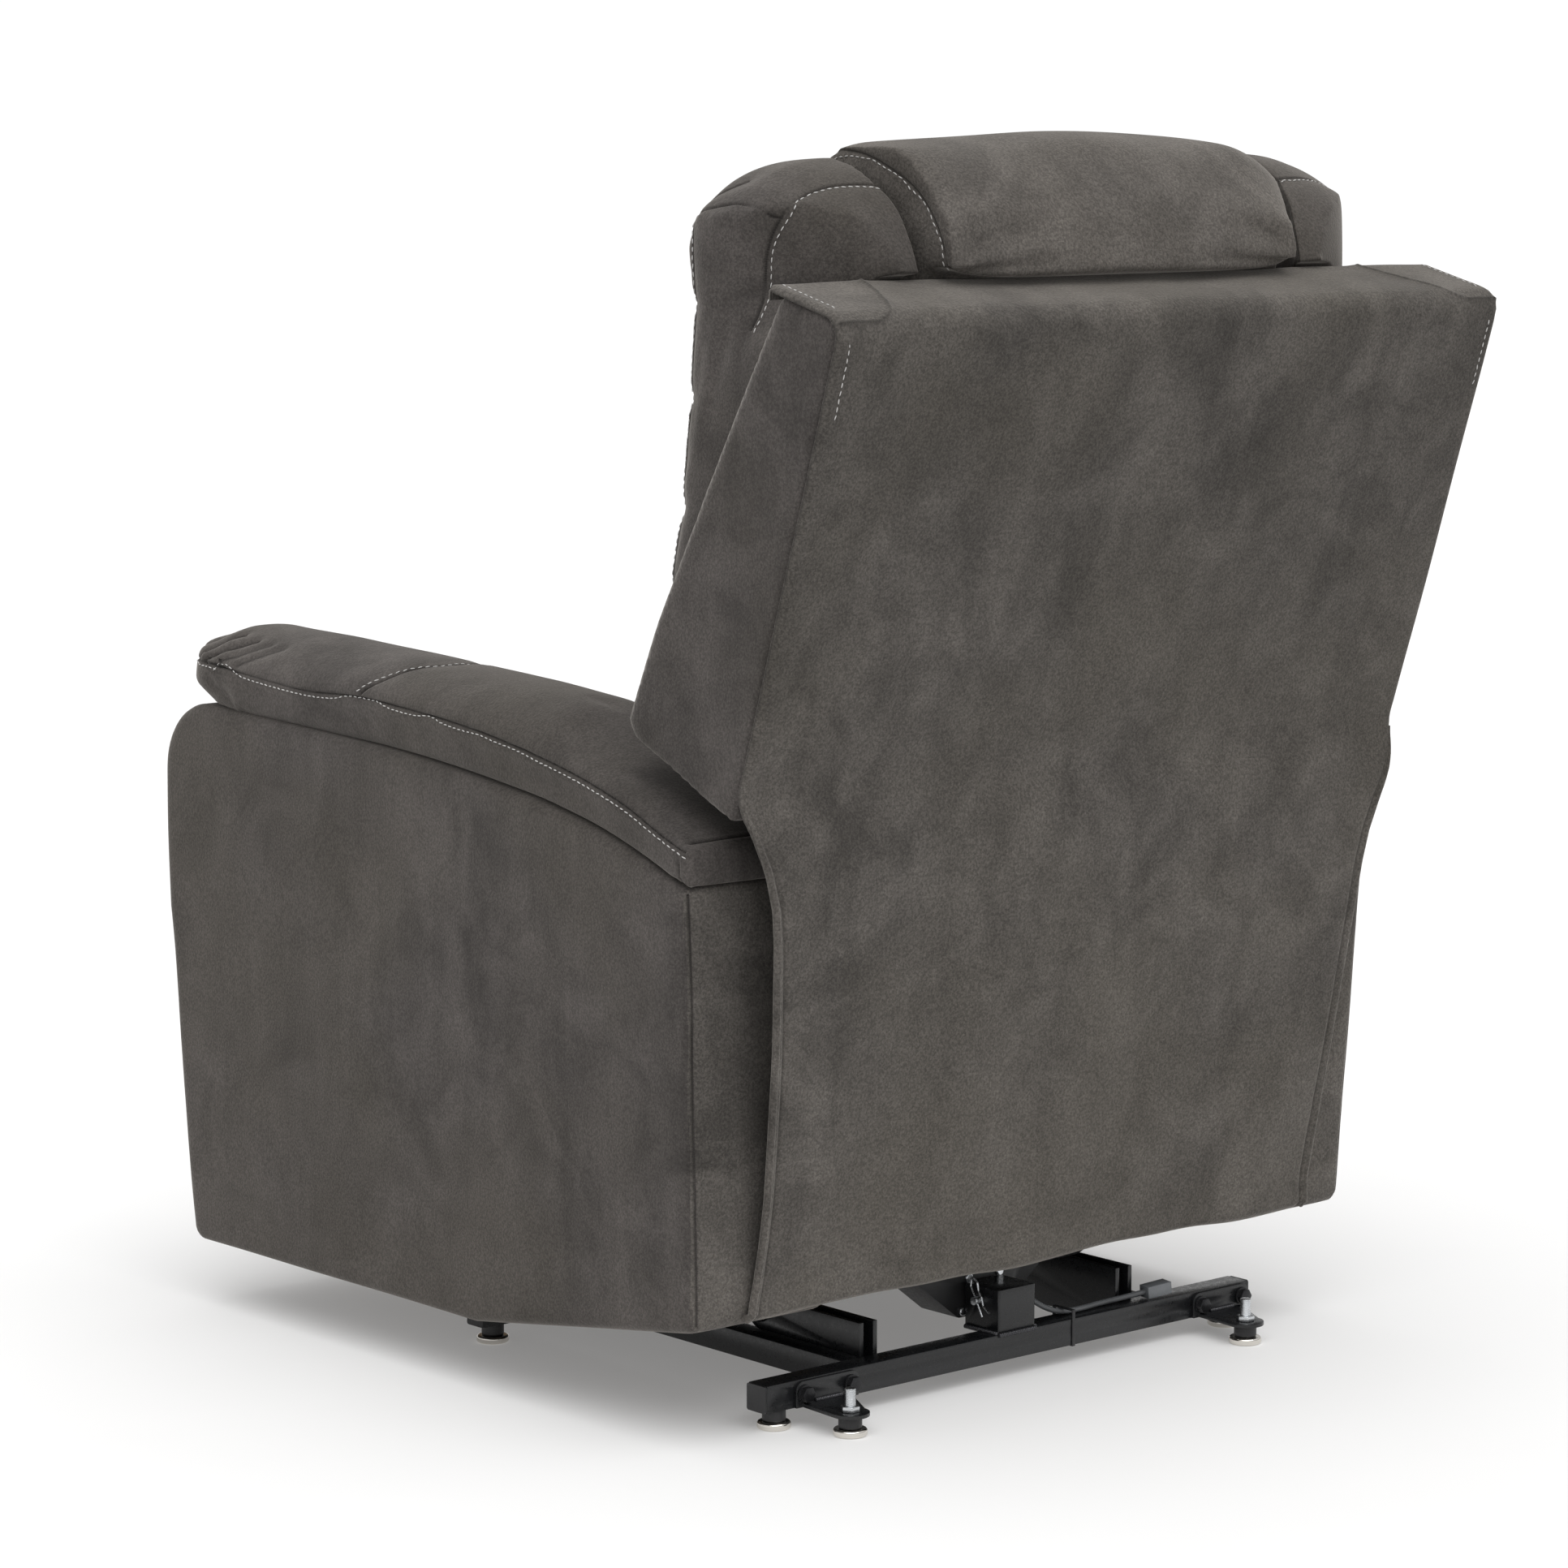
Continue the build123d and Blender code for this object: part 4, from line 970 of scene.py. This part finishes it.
nose_seam = [(420, -404, 651), (418, -424, 652), (408, -446, 652), (390, -466, 652), (368, -480, 652),
             (344, -484, 652), (320, -480, 652), (298, -466, 652), (280, -446, 652), (270, -424, 652),
             (268, -404, 651)]
end_seam = [(434, 333, 516), (434, 331, 540), (430, 331, 556), (416, 334, 558), (344, 335, 558),
            (283, 334, 558), (271, 331, 556), (268, 331, 540), (268, 333, 516)]
cross_seam = [(420, -162, 645), (412, -142, 664), (392, -132, 668), (366, -116, 672), (344, -106, 674),
              (318, -112, 672), (290, -128, 664), (268, -160, 645)]
pleats = both_halves([[(396, -462, 655), (384, -446, 668), (368, -430, 677)],
                      [(410, -444, 655), (400, -424, 668), (383, -404, 679)],
                      [(417, -424, 655), (408, -400, 668), (389, -376, 680)],
                      [(358, -478, 655), (354, -460, 668), (350, -440, 678)]])
folds = both_halves([[(419, -398, 656), (410, -374, 670), (393, -350, 680)],
                     [(419, -372, 656), (411, -348, 670), (396, -326, 679)]])

pad_seams = [pad_seam_line(pad_outer), nose_seam, pad_seam_line(pad_inner), end_seam, cross_seam]
cushions = []
arm_pads = {}
for name, side in (("arm_pad_left", 1), ("arm_pad_right", -1)):
    pad = prepare_cushion(name, voxel=5.0, passes=8, inset=0.0, held=on_side(side, pad_seams), hold=8.0,
                          shape=crown_pad, edge=9.0)
    arm_pads[name] = (pad, side)
    cushions.append((pad, 5.0))
print("arm pads:", len(arm_pads), "with", len(pleats), "pleats and", len(folds), "folds each")

# %% [markdown]
# ## Back cushions, seat and footrest
# The head pillow hangs over the top of the back between two tall bolsters. Its ends have a stitched band.
# Below it come the upper and the lumbar cushion, then the seat, and the pad of the footrest.

# %% Lines at which the covers are sewn
pillow_end = [(258, 1020), (255, 1060), (262, 1100), (281, 1150), (294, 1156), (310, 1158), (332, 1158),
              (353, 1155), (373, 1148), (395, 1138), (414, 1127), (428, 1112), (438, 1098), (446, 1080),
              (451, 1064), (452, 1050)]
bolster_front = [(340, 312, 1134), (356, 292, 1118), (370, 282, 1100), (378, 280, 1086), (383, 282, 1072),
                 (384, 282, 1047), (384, 281, 1005), (383, 275, 950), (383, 270, 900), (382, 261, 845),
                 (382, 250, 790), (382, 238, 730), (382, 228, 690)]
bolster_over = [(250, 386, 1128), (262, 384, 1129), (278, 382, 1129), (302, 378, 1128), (319, 376, 1123),
                (335, 376, 1117), (350, 377, 1109), (354, 371, 1100), (356, 368, 1093), (359, 365, 1084),
                (362, 364, 1073), (363, 363, 1061), (363, 363, 1037), (362, 361, 1020), (360, 358, 1000)]
bolster_cross = [(370, 284, 1100), (368, 310, 1106), (360, 340, 1106), (352, 372, 1101)]
bolster_lines = [bolster_front, bolster_over, bolster_cross]
bolster_dents = (1025, 943, 844, 770)
bolster_outline = [(216, 672), (232, 740), (256, 844), (268, 943), (274, 1010), (271, 1060), (268, 1100),
                   (273, 1134), (288, 1151), (331, 1153), (356, 1146), (388, 1131), (415, 1109), (434, 1081),
                   (446, 1054), (424, 1051), (424, 1010), (467.7, 960), (375.3, 668)]
bolster_edge = [(200, 385), (300, 385), (330, 383), (350, 374), (378, 350), (400, 327), (420, 302),
                (440, 276), (475, 262)]
bolster_inner, bolster_outer = 250, 385
print("seams of a bolster:", len(bolster_lines), "and its dents:", len(bolster_dents))


# %% Shapes of the back cushions
def shape_bolster(points):
    """Rounds a bolster: its front edges, its outer rear side above the shell, and the top on that side."""
    side = np.sign(points[:, 0])
    x, y, z = in_mm(points)
    x = np.abs(x)
    front = from_table(z, [(high, deep) for deep, high in bolster_outline[:8]])
    middle = (bolster_inner + bolster_outer) / 2
    x = middle + (x - middle) * from_table(y - front, [(0, 0.80), (8, 0.90), (20, 0.96), (42, 1.0)])
    corner = bolster_outer - from_table(y, bolster_edge)
    x -= rising(z, 1000, 1040) * rising(x, bolster_inner, bolster_outer) * corner
    z -= rising(z, 1030, 1140) * 50 * rising(x, bolster_inner, bolster_outer) ** 2.5
    for height in bolster_dents:
        y += 7.0 * bell(z - height, 9.0) * np.clip(1 - (y - front) / 45, 0, 1)
    return np.column_stack((side * x, y, z)) * mm


def shape_pillow(points):
    """The pillow's top sinks towards its ends, with two slow humps between them."""
    points = points.copy()
    x, _, z = in_mm(points)
    sink = np.where(x < 0, 12, 7) * rising(np.abs(x), 130, 235) ** 2 - 3.5 * np.cos(x / 46)
    points[:, 2] -= rising(z, 1060, 1160) * sink * mm
    points[:, 0] *= 1.035
    return narrowed(points)


def narrowed(points):
    """The pillow's ends come in towards its rear, the right one more, and that one also hangs lower there."""
    points = points.copy()
    x, y, z = in_mm(points)
    end = falling(x, -235, -165) ** 2 * rising(y, 320, 380)
    points[:, 2] -= 22 * mm * end * rising(z, 1060, 1160)
    points[:, 0] *= 1 - rising(y, 385, 450) ** 1.3 * (np.where(x < 0, 34, 6) / 235)
    return points


pillow_low, pillow_free = 1047, 1084


def settled(points):
    """Lets the pillow's lower rear edge sink onto the sloping top of the back, without curling under."""
    points = points.copy()
    _, y, z = in_mm(points)
    back = rising(y, 424, 448)
    points[:, 1] += 11 * mm * falling(z, 1048, pillow_free) ** 1.5 * back
    _, y, z = in_mm(points)
    rest = from_table(y, [(426, 1048), (442, 1045.6), (480, 1035.8), (499, 1030.8)])
    sunk = rest + np.clip(z - pillow_low, 0, None) * (pillow_free - rest) / (pillow_free - pillow_low)
    points[:, 2] = np.where((back > 0) & (z < pillow_free), sunk, z) * mm
    return points


def filled(points):
    """The right bolster leans in over the corner that the pillow leaves free."""
    points = points.copy()
    x, y, z = in_mm(points)
    inner = falling(np.abs(x), bolster_inner, bolster_outer)
    points[:, 0] += 24 * mm * inner * rising(y, 385, 440) * rising(z, 1000, 1040)
    return points


print("the pillow and the bolsters have shapes of their own")


# %% Plan of the cushions
def within(half_width, softness):
    """The two upright planes that keep a cushion clear of what stands beside it."""
    return [((side, 0, 0), half_width, softness) for side in (1, -1)]


cushion_plan = {
    "head_pillow": dict(voxel=7.0, passes=4, inset=4.0, cap=12.0, shape=shape_pillow,
                        held=[(narrowed(np.array([(x, y, z) for y, z in pillow_end]) * mm) / mm).tolist()
                              for x in (-235, 235)],
                        planes=within(246, 5) + [((0, 0, 1), 1179, 5)]),
    "upper_cushion": dict(voxel=7.0, passes=4, inset=4.0, cap=16.0,
                          held=[[(x, 224, 752), (x, 234, 860), (x, 278, 950)] for x in (-238, 238)],
                          planes=within(249, 6)),
    "lumbar_cushion": dict(voxel=7.0, passes=4, inset=4.0, cap=16.0,
                           held=[[(x, 178, 530), (x, 178, 640), (x, 216, 738)] for x in (-238, 238)],
                           planes=within(249, 6)),
    "seat_cushion": dict(voxel=8.0, passes=5, inset=4.0, cap=14.0,
                         held=[[(x, 160, 503), (x, -300, 503), (x, -430, 500), (x, -453, 480), (x, -455, 390)]
                               for x in (-244, 244)] + [[(-250, -80, 503), (0, -80, 506), (250, -80, 503)]],
                         planes=within(259, 5) + [((0, 0, -1), -378.2, 4), ((0, 1, 0), 174, 5),
                                                  ((0, -1, 0), 468, 6)]),
    "footrest_pad": dict(voxel=7.0, passes=4, inset=3.0, cap=12.0,
                         held=[[(-245, -508, z), (0, -510, z), (245, -508, z)] for z in (186, 294)],
                         planes=within(259, 5) + [((0, 1, 0), -471.3, 3), ((0, -1, 0), 519, 6),
                                                  ((0, 0, 1), 408, 4), ((0, 0, -1), -72, 4)]),
}
for name, side in (("bolster_left", 1), ("bolster_right", -1)):
    cushion_plan[name] = dict(voxel=6.0, passes=5, inset=1.0, cap=9.0, shape=shape_bolster,
                              held=on_side(side, bolster_lines),
                              outline=(bolster_outline, side * bolster_inner, side * bolster_outer),
                              planes=[((side, 0, 0), 389, 6), ((-side, 0, 0), -250.5, 4),
                                      ((0, 0, 1), 1164, 5)])
back_cushions = {}
for name, plan in cushion_plan.items():
    net = {key: value for key, value in plan.items() if key not in ("cap", "planes")}
    back_cushions[name] = prepare_cushion(name, **net)
    cushions.append((back_cushions[name], plan["cap"]))
print("cushions to blow up:", len(cushions), "with", sum(len(piece.data.vertices) for piece, _ in cushions),
      "points")

# %% Simulation
blow_up(cushions)
print("blown up")

# %% Sewing the arm pads
for name, (pad, side) in arm_pads.items():
    sewn, pleated, folded = on_side(side, pad_seams), on_side(side, pleats), on_side(side, folds)
    refine_near(pad, lines_on(pad, sewn + pleated + folded), (9.0, 4.5, 2.0))
    sew(pad, sewn, depth=2.4, pull=1.2, reaches=())
    sew(pad, pleated, depth=1.6, pull=2.6, spread=6.0, reaches=())
    sew(pad, folded, depth=0.0, pull=2.0, spread=7.0, reaches=())
    pad.data.materials.append(suede_shaded)
    below = -stitch_gap * side
    stitch_on(pad, [(sewn[0], below), (sewn[1], -below), (sewn[2], -below), (sewn[4], stitch_gap)], 31 + side)
    move_points(pad, leaned(points_of(pad)))
    adopt(pad, name)
print("arm pads sewn")

# %% Sewing the cushions
for name, piece in back_cushions.items():
    plan = cushion_plan[name]
    move_points(piece, kept_behind(points_of(piece), plan["planes"]))
    if name == "head_pillow":
        move_points(piece, settled(points_of(piece)))
    if name == "bolster_right":
        move_points(piece, filled(points_of(piece)))
    finer(piece)
    side = -1 if name.endswith("right") else 1
    held = plan["held"]
    if name.startswith("bolster"):
        sew(piece, held, depth=2.2, pull=1.6, reaches=(10.0, 5.0))
        thread_lines = [(held[0][2:], -3.0 * side), (held[1], 6.0 * side)]
    else:
        sew(piece, held, depth=2.2, pull=2.0, reaches=(10.0, 5.0))
        thread_lines = [(line, -stitch_gap if line[0][0] > 0 else stitch_gap) for line in held]
    # The pillow takes the lighter pillow copy of the suede, as painted light.
    piece.data.materials.append(suede_lit_pillow if name == "head_pillow" else suede_shaded)
    stitch_on(piece, thread_lines, 41 + side)
    adopt(piece, name)
    print(name, len(piece.data.polygons), "faces")

# %% [markdown]
# ## Back shell and rear cover
# The shell's wings are tight cloth over a board. The rear is one cut of cloth: it starts on top of the
# back, rolls over the rear edge, runs down the whole rear face and hangs on below it as a skirt that hides
# the linkage.

# %% Shell
shell = soft_copy("back_shell", 6.0, 3)
points = points_of(shell)
outer = rising(np.abs(points[:, 0]) / mm, 395, 410)
points[:, 0] += np.sign(points[:, 0]) * waves(points, 0.22, 5) * mm * outer
move_points(shell, points)
shell.data.materials.append(suede_shaded)
lining = [([(244.5, 448), (249.5, 448), (341.5, 740), (336.5, 740)], -246, 246),
          ([(416, 985), (440, 1024), (450, 1030), (450, 1016), (426, 975)], -409, 409)]
for side in (1, -1):
    lining.append(([(352, 596), (358, 594), (384, 680), (378, 682)], side * 248, side * 392))
for outline, start, end in lining:
    join_mesh(shell, slab_mesh("lining", outline, start, end), suede_shaded)
adopt(shell, "back_shell")
print("shell:", len(shell.data.polygons), "faces")

# %% Rear cover
cover_path = [(425.8, 1034), (426.2, 1042), (430, 1046.2), (442, 1043.5), (480, 1033.5), (499, 1028.6),
              (511, 1024), (518, 1016.5), (520.3, 1007), (518, 996), (486, 896.6), (454, 795.5), (422, 694.4),
              (402, 631.2), (394.5, 607), (395, 590), (400, 572), (401.5, 552), (398.5, 520), (392.5, 470),
              (379.5, 368), (358.5, 231), (342.5, 150), (339.5, 124), (335, 119.5), (328, 122), (324, 130)]
cover_half = [(1050, 414.2), (600, 414.2), (586, 412), (557, 402), (533, 391), (500, 380), (470, 375),
              (424, 371), (368, 366), (231, 358), (193, 357), (152, 357), (119, 361)]
columns = 160
skirt_top, skirt_fade = 0.600, 0.25
wrap = 5.0 * mm
hem_line = 8.5


def cover_width(z):
    """Half width of the cover at a height, in millimetres."""
    return float(from_table(z, sorted(cover_half)))


def hem(inward, free):
    """How deep the cloth is pressed and how much painted shade it gets, so many millimetres from the edge."""
    full = min(1.0, 3 * free)
    pressed = 1.6 * math.exp(-((inward - hem_line) / 2.0) ** 2) - 0.8 * math.exp(-((inward - 3) / 3) ** 2)
    edge_shade = 0.75 * math.exp(-(inward / 1.4) ** 2) * (1 - free)
    return full * pressed, edge_shade + 0.55 * full * math.exp(-((inward - hem_line) / 1.5) ** 2)


rows = smooth_line([(0, y, z) for y, z in cover_path], 6.0)
cover_mesh = bpy.data.meshes.new("rear_cover")
grid = []
seam_shade = []
for index, point in enumerate(rows):
    half = cover_width(point.z / mm) * mm
    ahead = rows[min(index + 1, len(rows) - 1)] - rows[max(index - 1, 0)]
    outward = Vector((0, -ahead.z, ahead.y)).normalized()
    free = min(1.0, max(0.0, (skirt_top - point.z) / skirt_fade))
    bend = wrap * (1 - free)
    reach = half - bend + bend * math.pi / 2
    for column in range(columns + 1):
        across = 2 * column / columns - 1
        across = math.copysign(1 - (1 - abs(across)) ** 1.6, across)
        past = max(0.0, abs(across) * reach - (half - bend))
        angle = past / bend if bend > 0 else 0.0
        x = math.copysign(min(abs(across) * reach, half - bend) + bend * math.sin(angle), across)
        sag = (0.0007 * math.sin(across * 9.0 + point.z * 13)
               + 0.0004 * math.sin(across * 23 + point.z * 31 + 1.3))
        fold = free * (0.0018 * math.sin(across * 6.3 + 0.7) + 0.0007 * math.sin(across * 15 + point.z * 8))
        tuck = bend * (1 - math.cos(angle))
        # Painted shade in the hem's pressed groove and along the cover's tucked side edge.
        pressed, hem_shade = hem((1 - abs(across)) * reach / mm, free)
        seam_shade.append(hem_shade)
        grid.append(point + Vector((x, 0, 0)) + outward * (sag * 0.8 + fold - tuck - pressed * mm))
faces = []
wide = columns + 1
for row in range(len(rows) - 1):
    for column in range(columns):
        start = row * wide + column
        faces.append((start, start + wide, start + wide + 1, start + 1))
cover_mesh.from_pydata([tuple(point) for point in grid], [], faces)
cover_mesh.update()
cover_mesh.attributes.new("seam", "FLOAT", "POINT").data.foreach_set("value", seam_shade)
cover = new_piece("rear_cover", cover_mesh)
shaded_smooth(cover)
print("net of the cover:", len(rows), "rows of", columns, "squares")

# %% Seams of the rear cover
patch = [(412, 518, 1016), (400, 518, 1016), (372, 518, 1016), (356, 515, 1020), (347, 506, 1026),
         (338, 490, 1031), (326, 466, 1037), (317, 445, 1043), (314, 433, 1046)]
sew(cover, [patch, mirrored(patch)], depth=1.3, pull=1.0, spread=8.0, reaches=(9.0, 6.0))
thick = cover.modifiers.new("thick", "SOLIDIFY")
thick.thickness = 2.4 * mm
thick.offset = 0
finished(cover)
# The cover takes the lighter rear copy of the suede, as painted light.
cover.data.materials.append(suede_lit_rear)
wing_edge = [(404, y, z) for y, z in ((437, 1051), (472, 1043), (509, 1033), (521, 1028), (528, 1016),
                                      (524, 1004), (518, 978), (505, 936))]
stitch_on(cover, [(wing_edge, 0), (mirrored(wing_edge), 0)], 51)
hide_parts("rear_flap")
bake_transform(cover)

# %% Piping on the edges of the skirt
edges = [[point + Vector((side * (cover_width(point.z / mm) - 1.0) * mm, 0, 0))
          for point in rows if point.z < 0.603] for side in (1, -1)]
piping_line = curve_of("skirt_piping", edges, diameter=7.2 * mm)
piping_line.data.bevel_resolution = 3
for spline in piping_line.data.splines:
    for index, point in enumerate(spline.points):
        point.radius = min(1.0, 0.2 + index / 12)
# The piping takes the lighter rear copy of the suede, as painted light.
piping = new_piece("skirt_piping", mesh_of(piping_line), suede_lit_rear)
shaded_smooth(piping)
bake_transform(piping)
print("piping:", len(piping.data.polygons), "faces")

# %% [markdown]
# ## Side pocket
# The sitter's right arm has a pocket for the hand control. Its outer panel is a thin padded piece with a
# stitched border.

# %% Pocket
pocket = soft_copy("side_pocket", 1.4, 3)
pocket_low, pocket_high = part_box("side_pocket")
rim, pocket_face = 6.5, -421
left, right = pocket_low[1] / mm + rim, pocket_high[1] / mm - rim
bottom, top = pocket_low[2] / mm + rim, pocket_high[2] / mm - rim
middle, centre = (left + right) / 2, (top + bottom) / 2
border = [(left, top), (left, centre), (left, bottom + 4), (left + 4, bottom), (middle, bottom),
          (right - 4, bottom), (right, bottom + 4), (right, centre), (right, top)]
opening = [(left + 2, top - 6), (middle, top - 6), (right - 2, top - 6)]
pocket.data.materials.append(suede_shaded)
stitch_on(pocket, [([(pocket_face, y, z) for y, z in line], 0) for line in (border, opening)], 61)
adopt(pocket, "side_pocket")
print("pocket:", len(pocket.data.polygons), "faces")

# %% [markdown]
# ## Stage
# A white floor that runs out of sight, a world that is white at the horizon and softer above it, and two
# broad parallel lights, which light the floor evenly as far as it is seen. The floor also glows faintly, as
# painted light that lifts its shadows.

# %% Floor, world and lights
far = 40
floor_mesh = bpy.data.meshes.new("floor")
floor_mesh.from_pydata([(-far, -far, 0), (far, -far, 0), (far, far, 0), (-far, far, 0)], [], [(0, 1, 2, 3)])
white, tree, shader = new_finish("white_paper")
paper = ramp(tree, cloud(tree, place(tree), 3.0, 2.0), [(0.3, 0.615), (0.7, 0.625)])
# The floor glows faintly: painted light that lifts the shadows on it and under the chair.
fill(tree, shader, {"Base Color": paper, "Roughness": 0.9, "Specular IOR Level": 0.1,
                    "Emission Color": (1, 0.985, 0.97, 1), "Emission Strength": 0.21})
floor = new_piece("floor", floor_mesh, white)

world = bpy.data.worlds.new("studio")
scene.world = world
world.use_nodes = True
sky = world.node_tree
direction = node(sky, "ShaderNodeTexCoord").outputs["Generated"]
height = node(sky, "ShaderNodeSeparateXYZ", {"Vector": direction}).outputs["Z"]
brightness = ramp(sky, height, [(0.0, 1.0), (0.035, 1.0), (0.14, 0.42), (0.5, 0.56), (1.0, 1.15)])
fill(sky, sky.nodes["Background"], {"Color": brightness, "Strength": 1.04})


def sun(name, source, strength, spread):
    """A soft parallel light that comes from a direction."""
    light = bpy.data.lights.new(name, "SUN")
    light.energy = strength
    light.angle = math.radians(spread)
    holder = bpy.data.objects.new(name, light)
    holder.rotation_euler = (-Vector(source)).to_track_quat("-Z", "Y").to_euler()
    holder.location = Vector(source).normalized() * 6
    scene.collection.objects.link(holder)


sun("overhead", (0.2, 0.4, 1.0), 2.0, 70)
sun("left_fill", (1.0, 0.1, 0.9), 0.12, 60)
print("lights:", [item.name for item in bpy.data.lights])
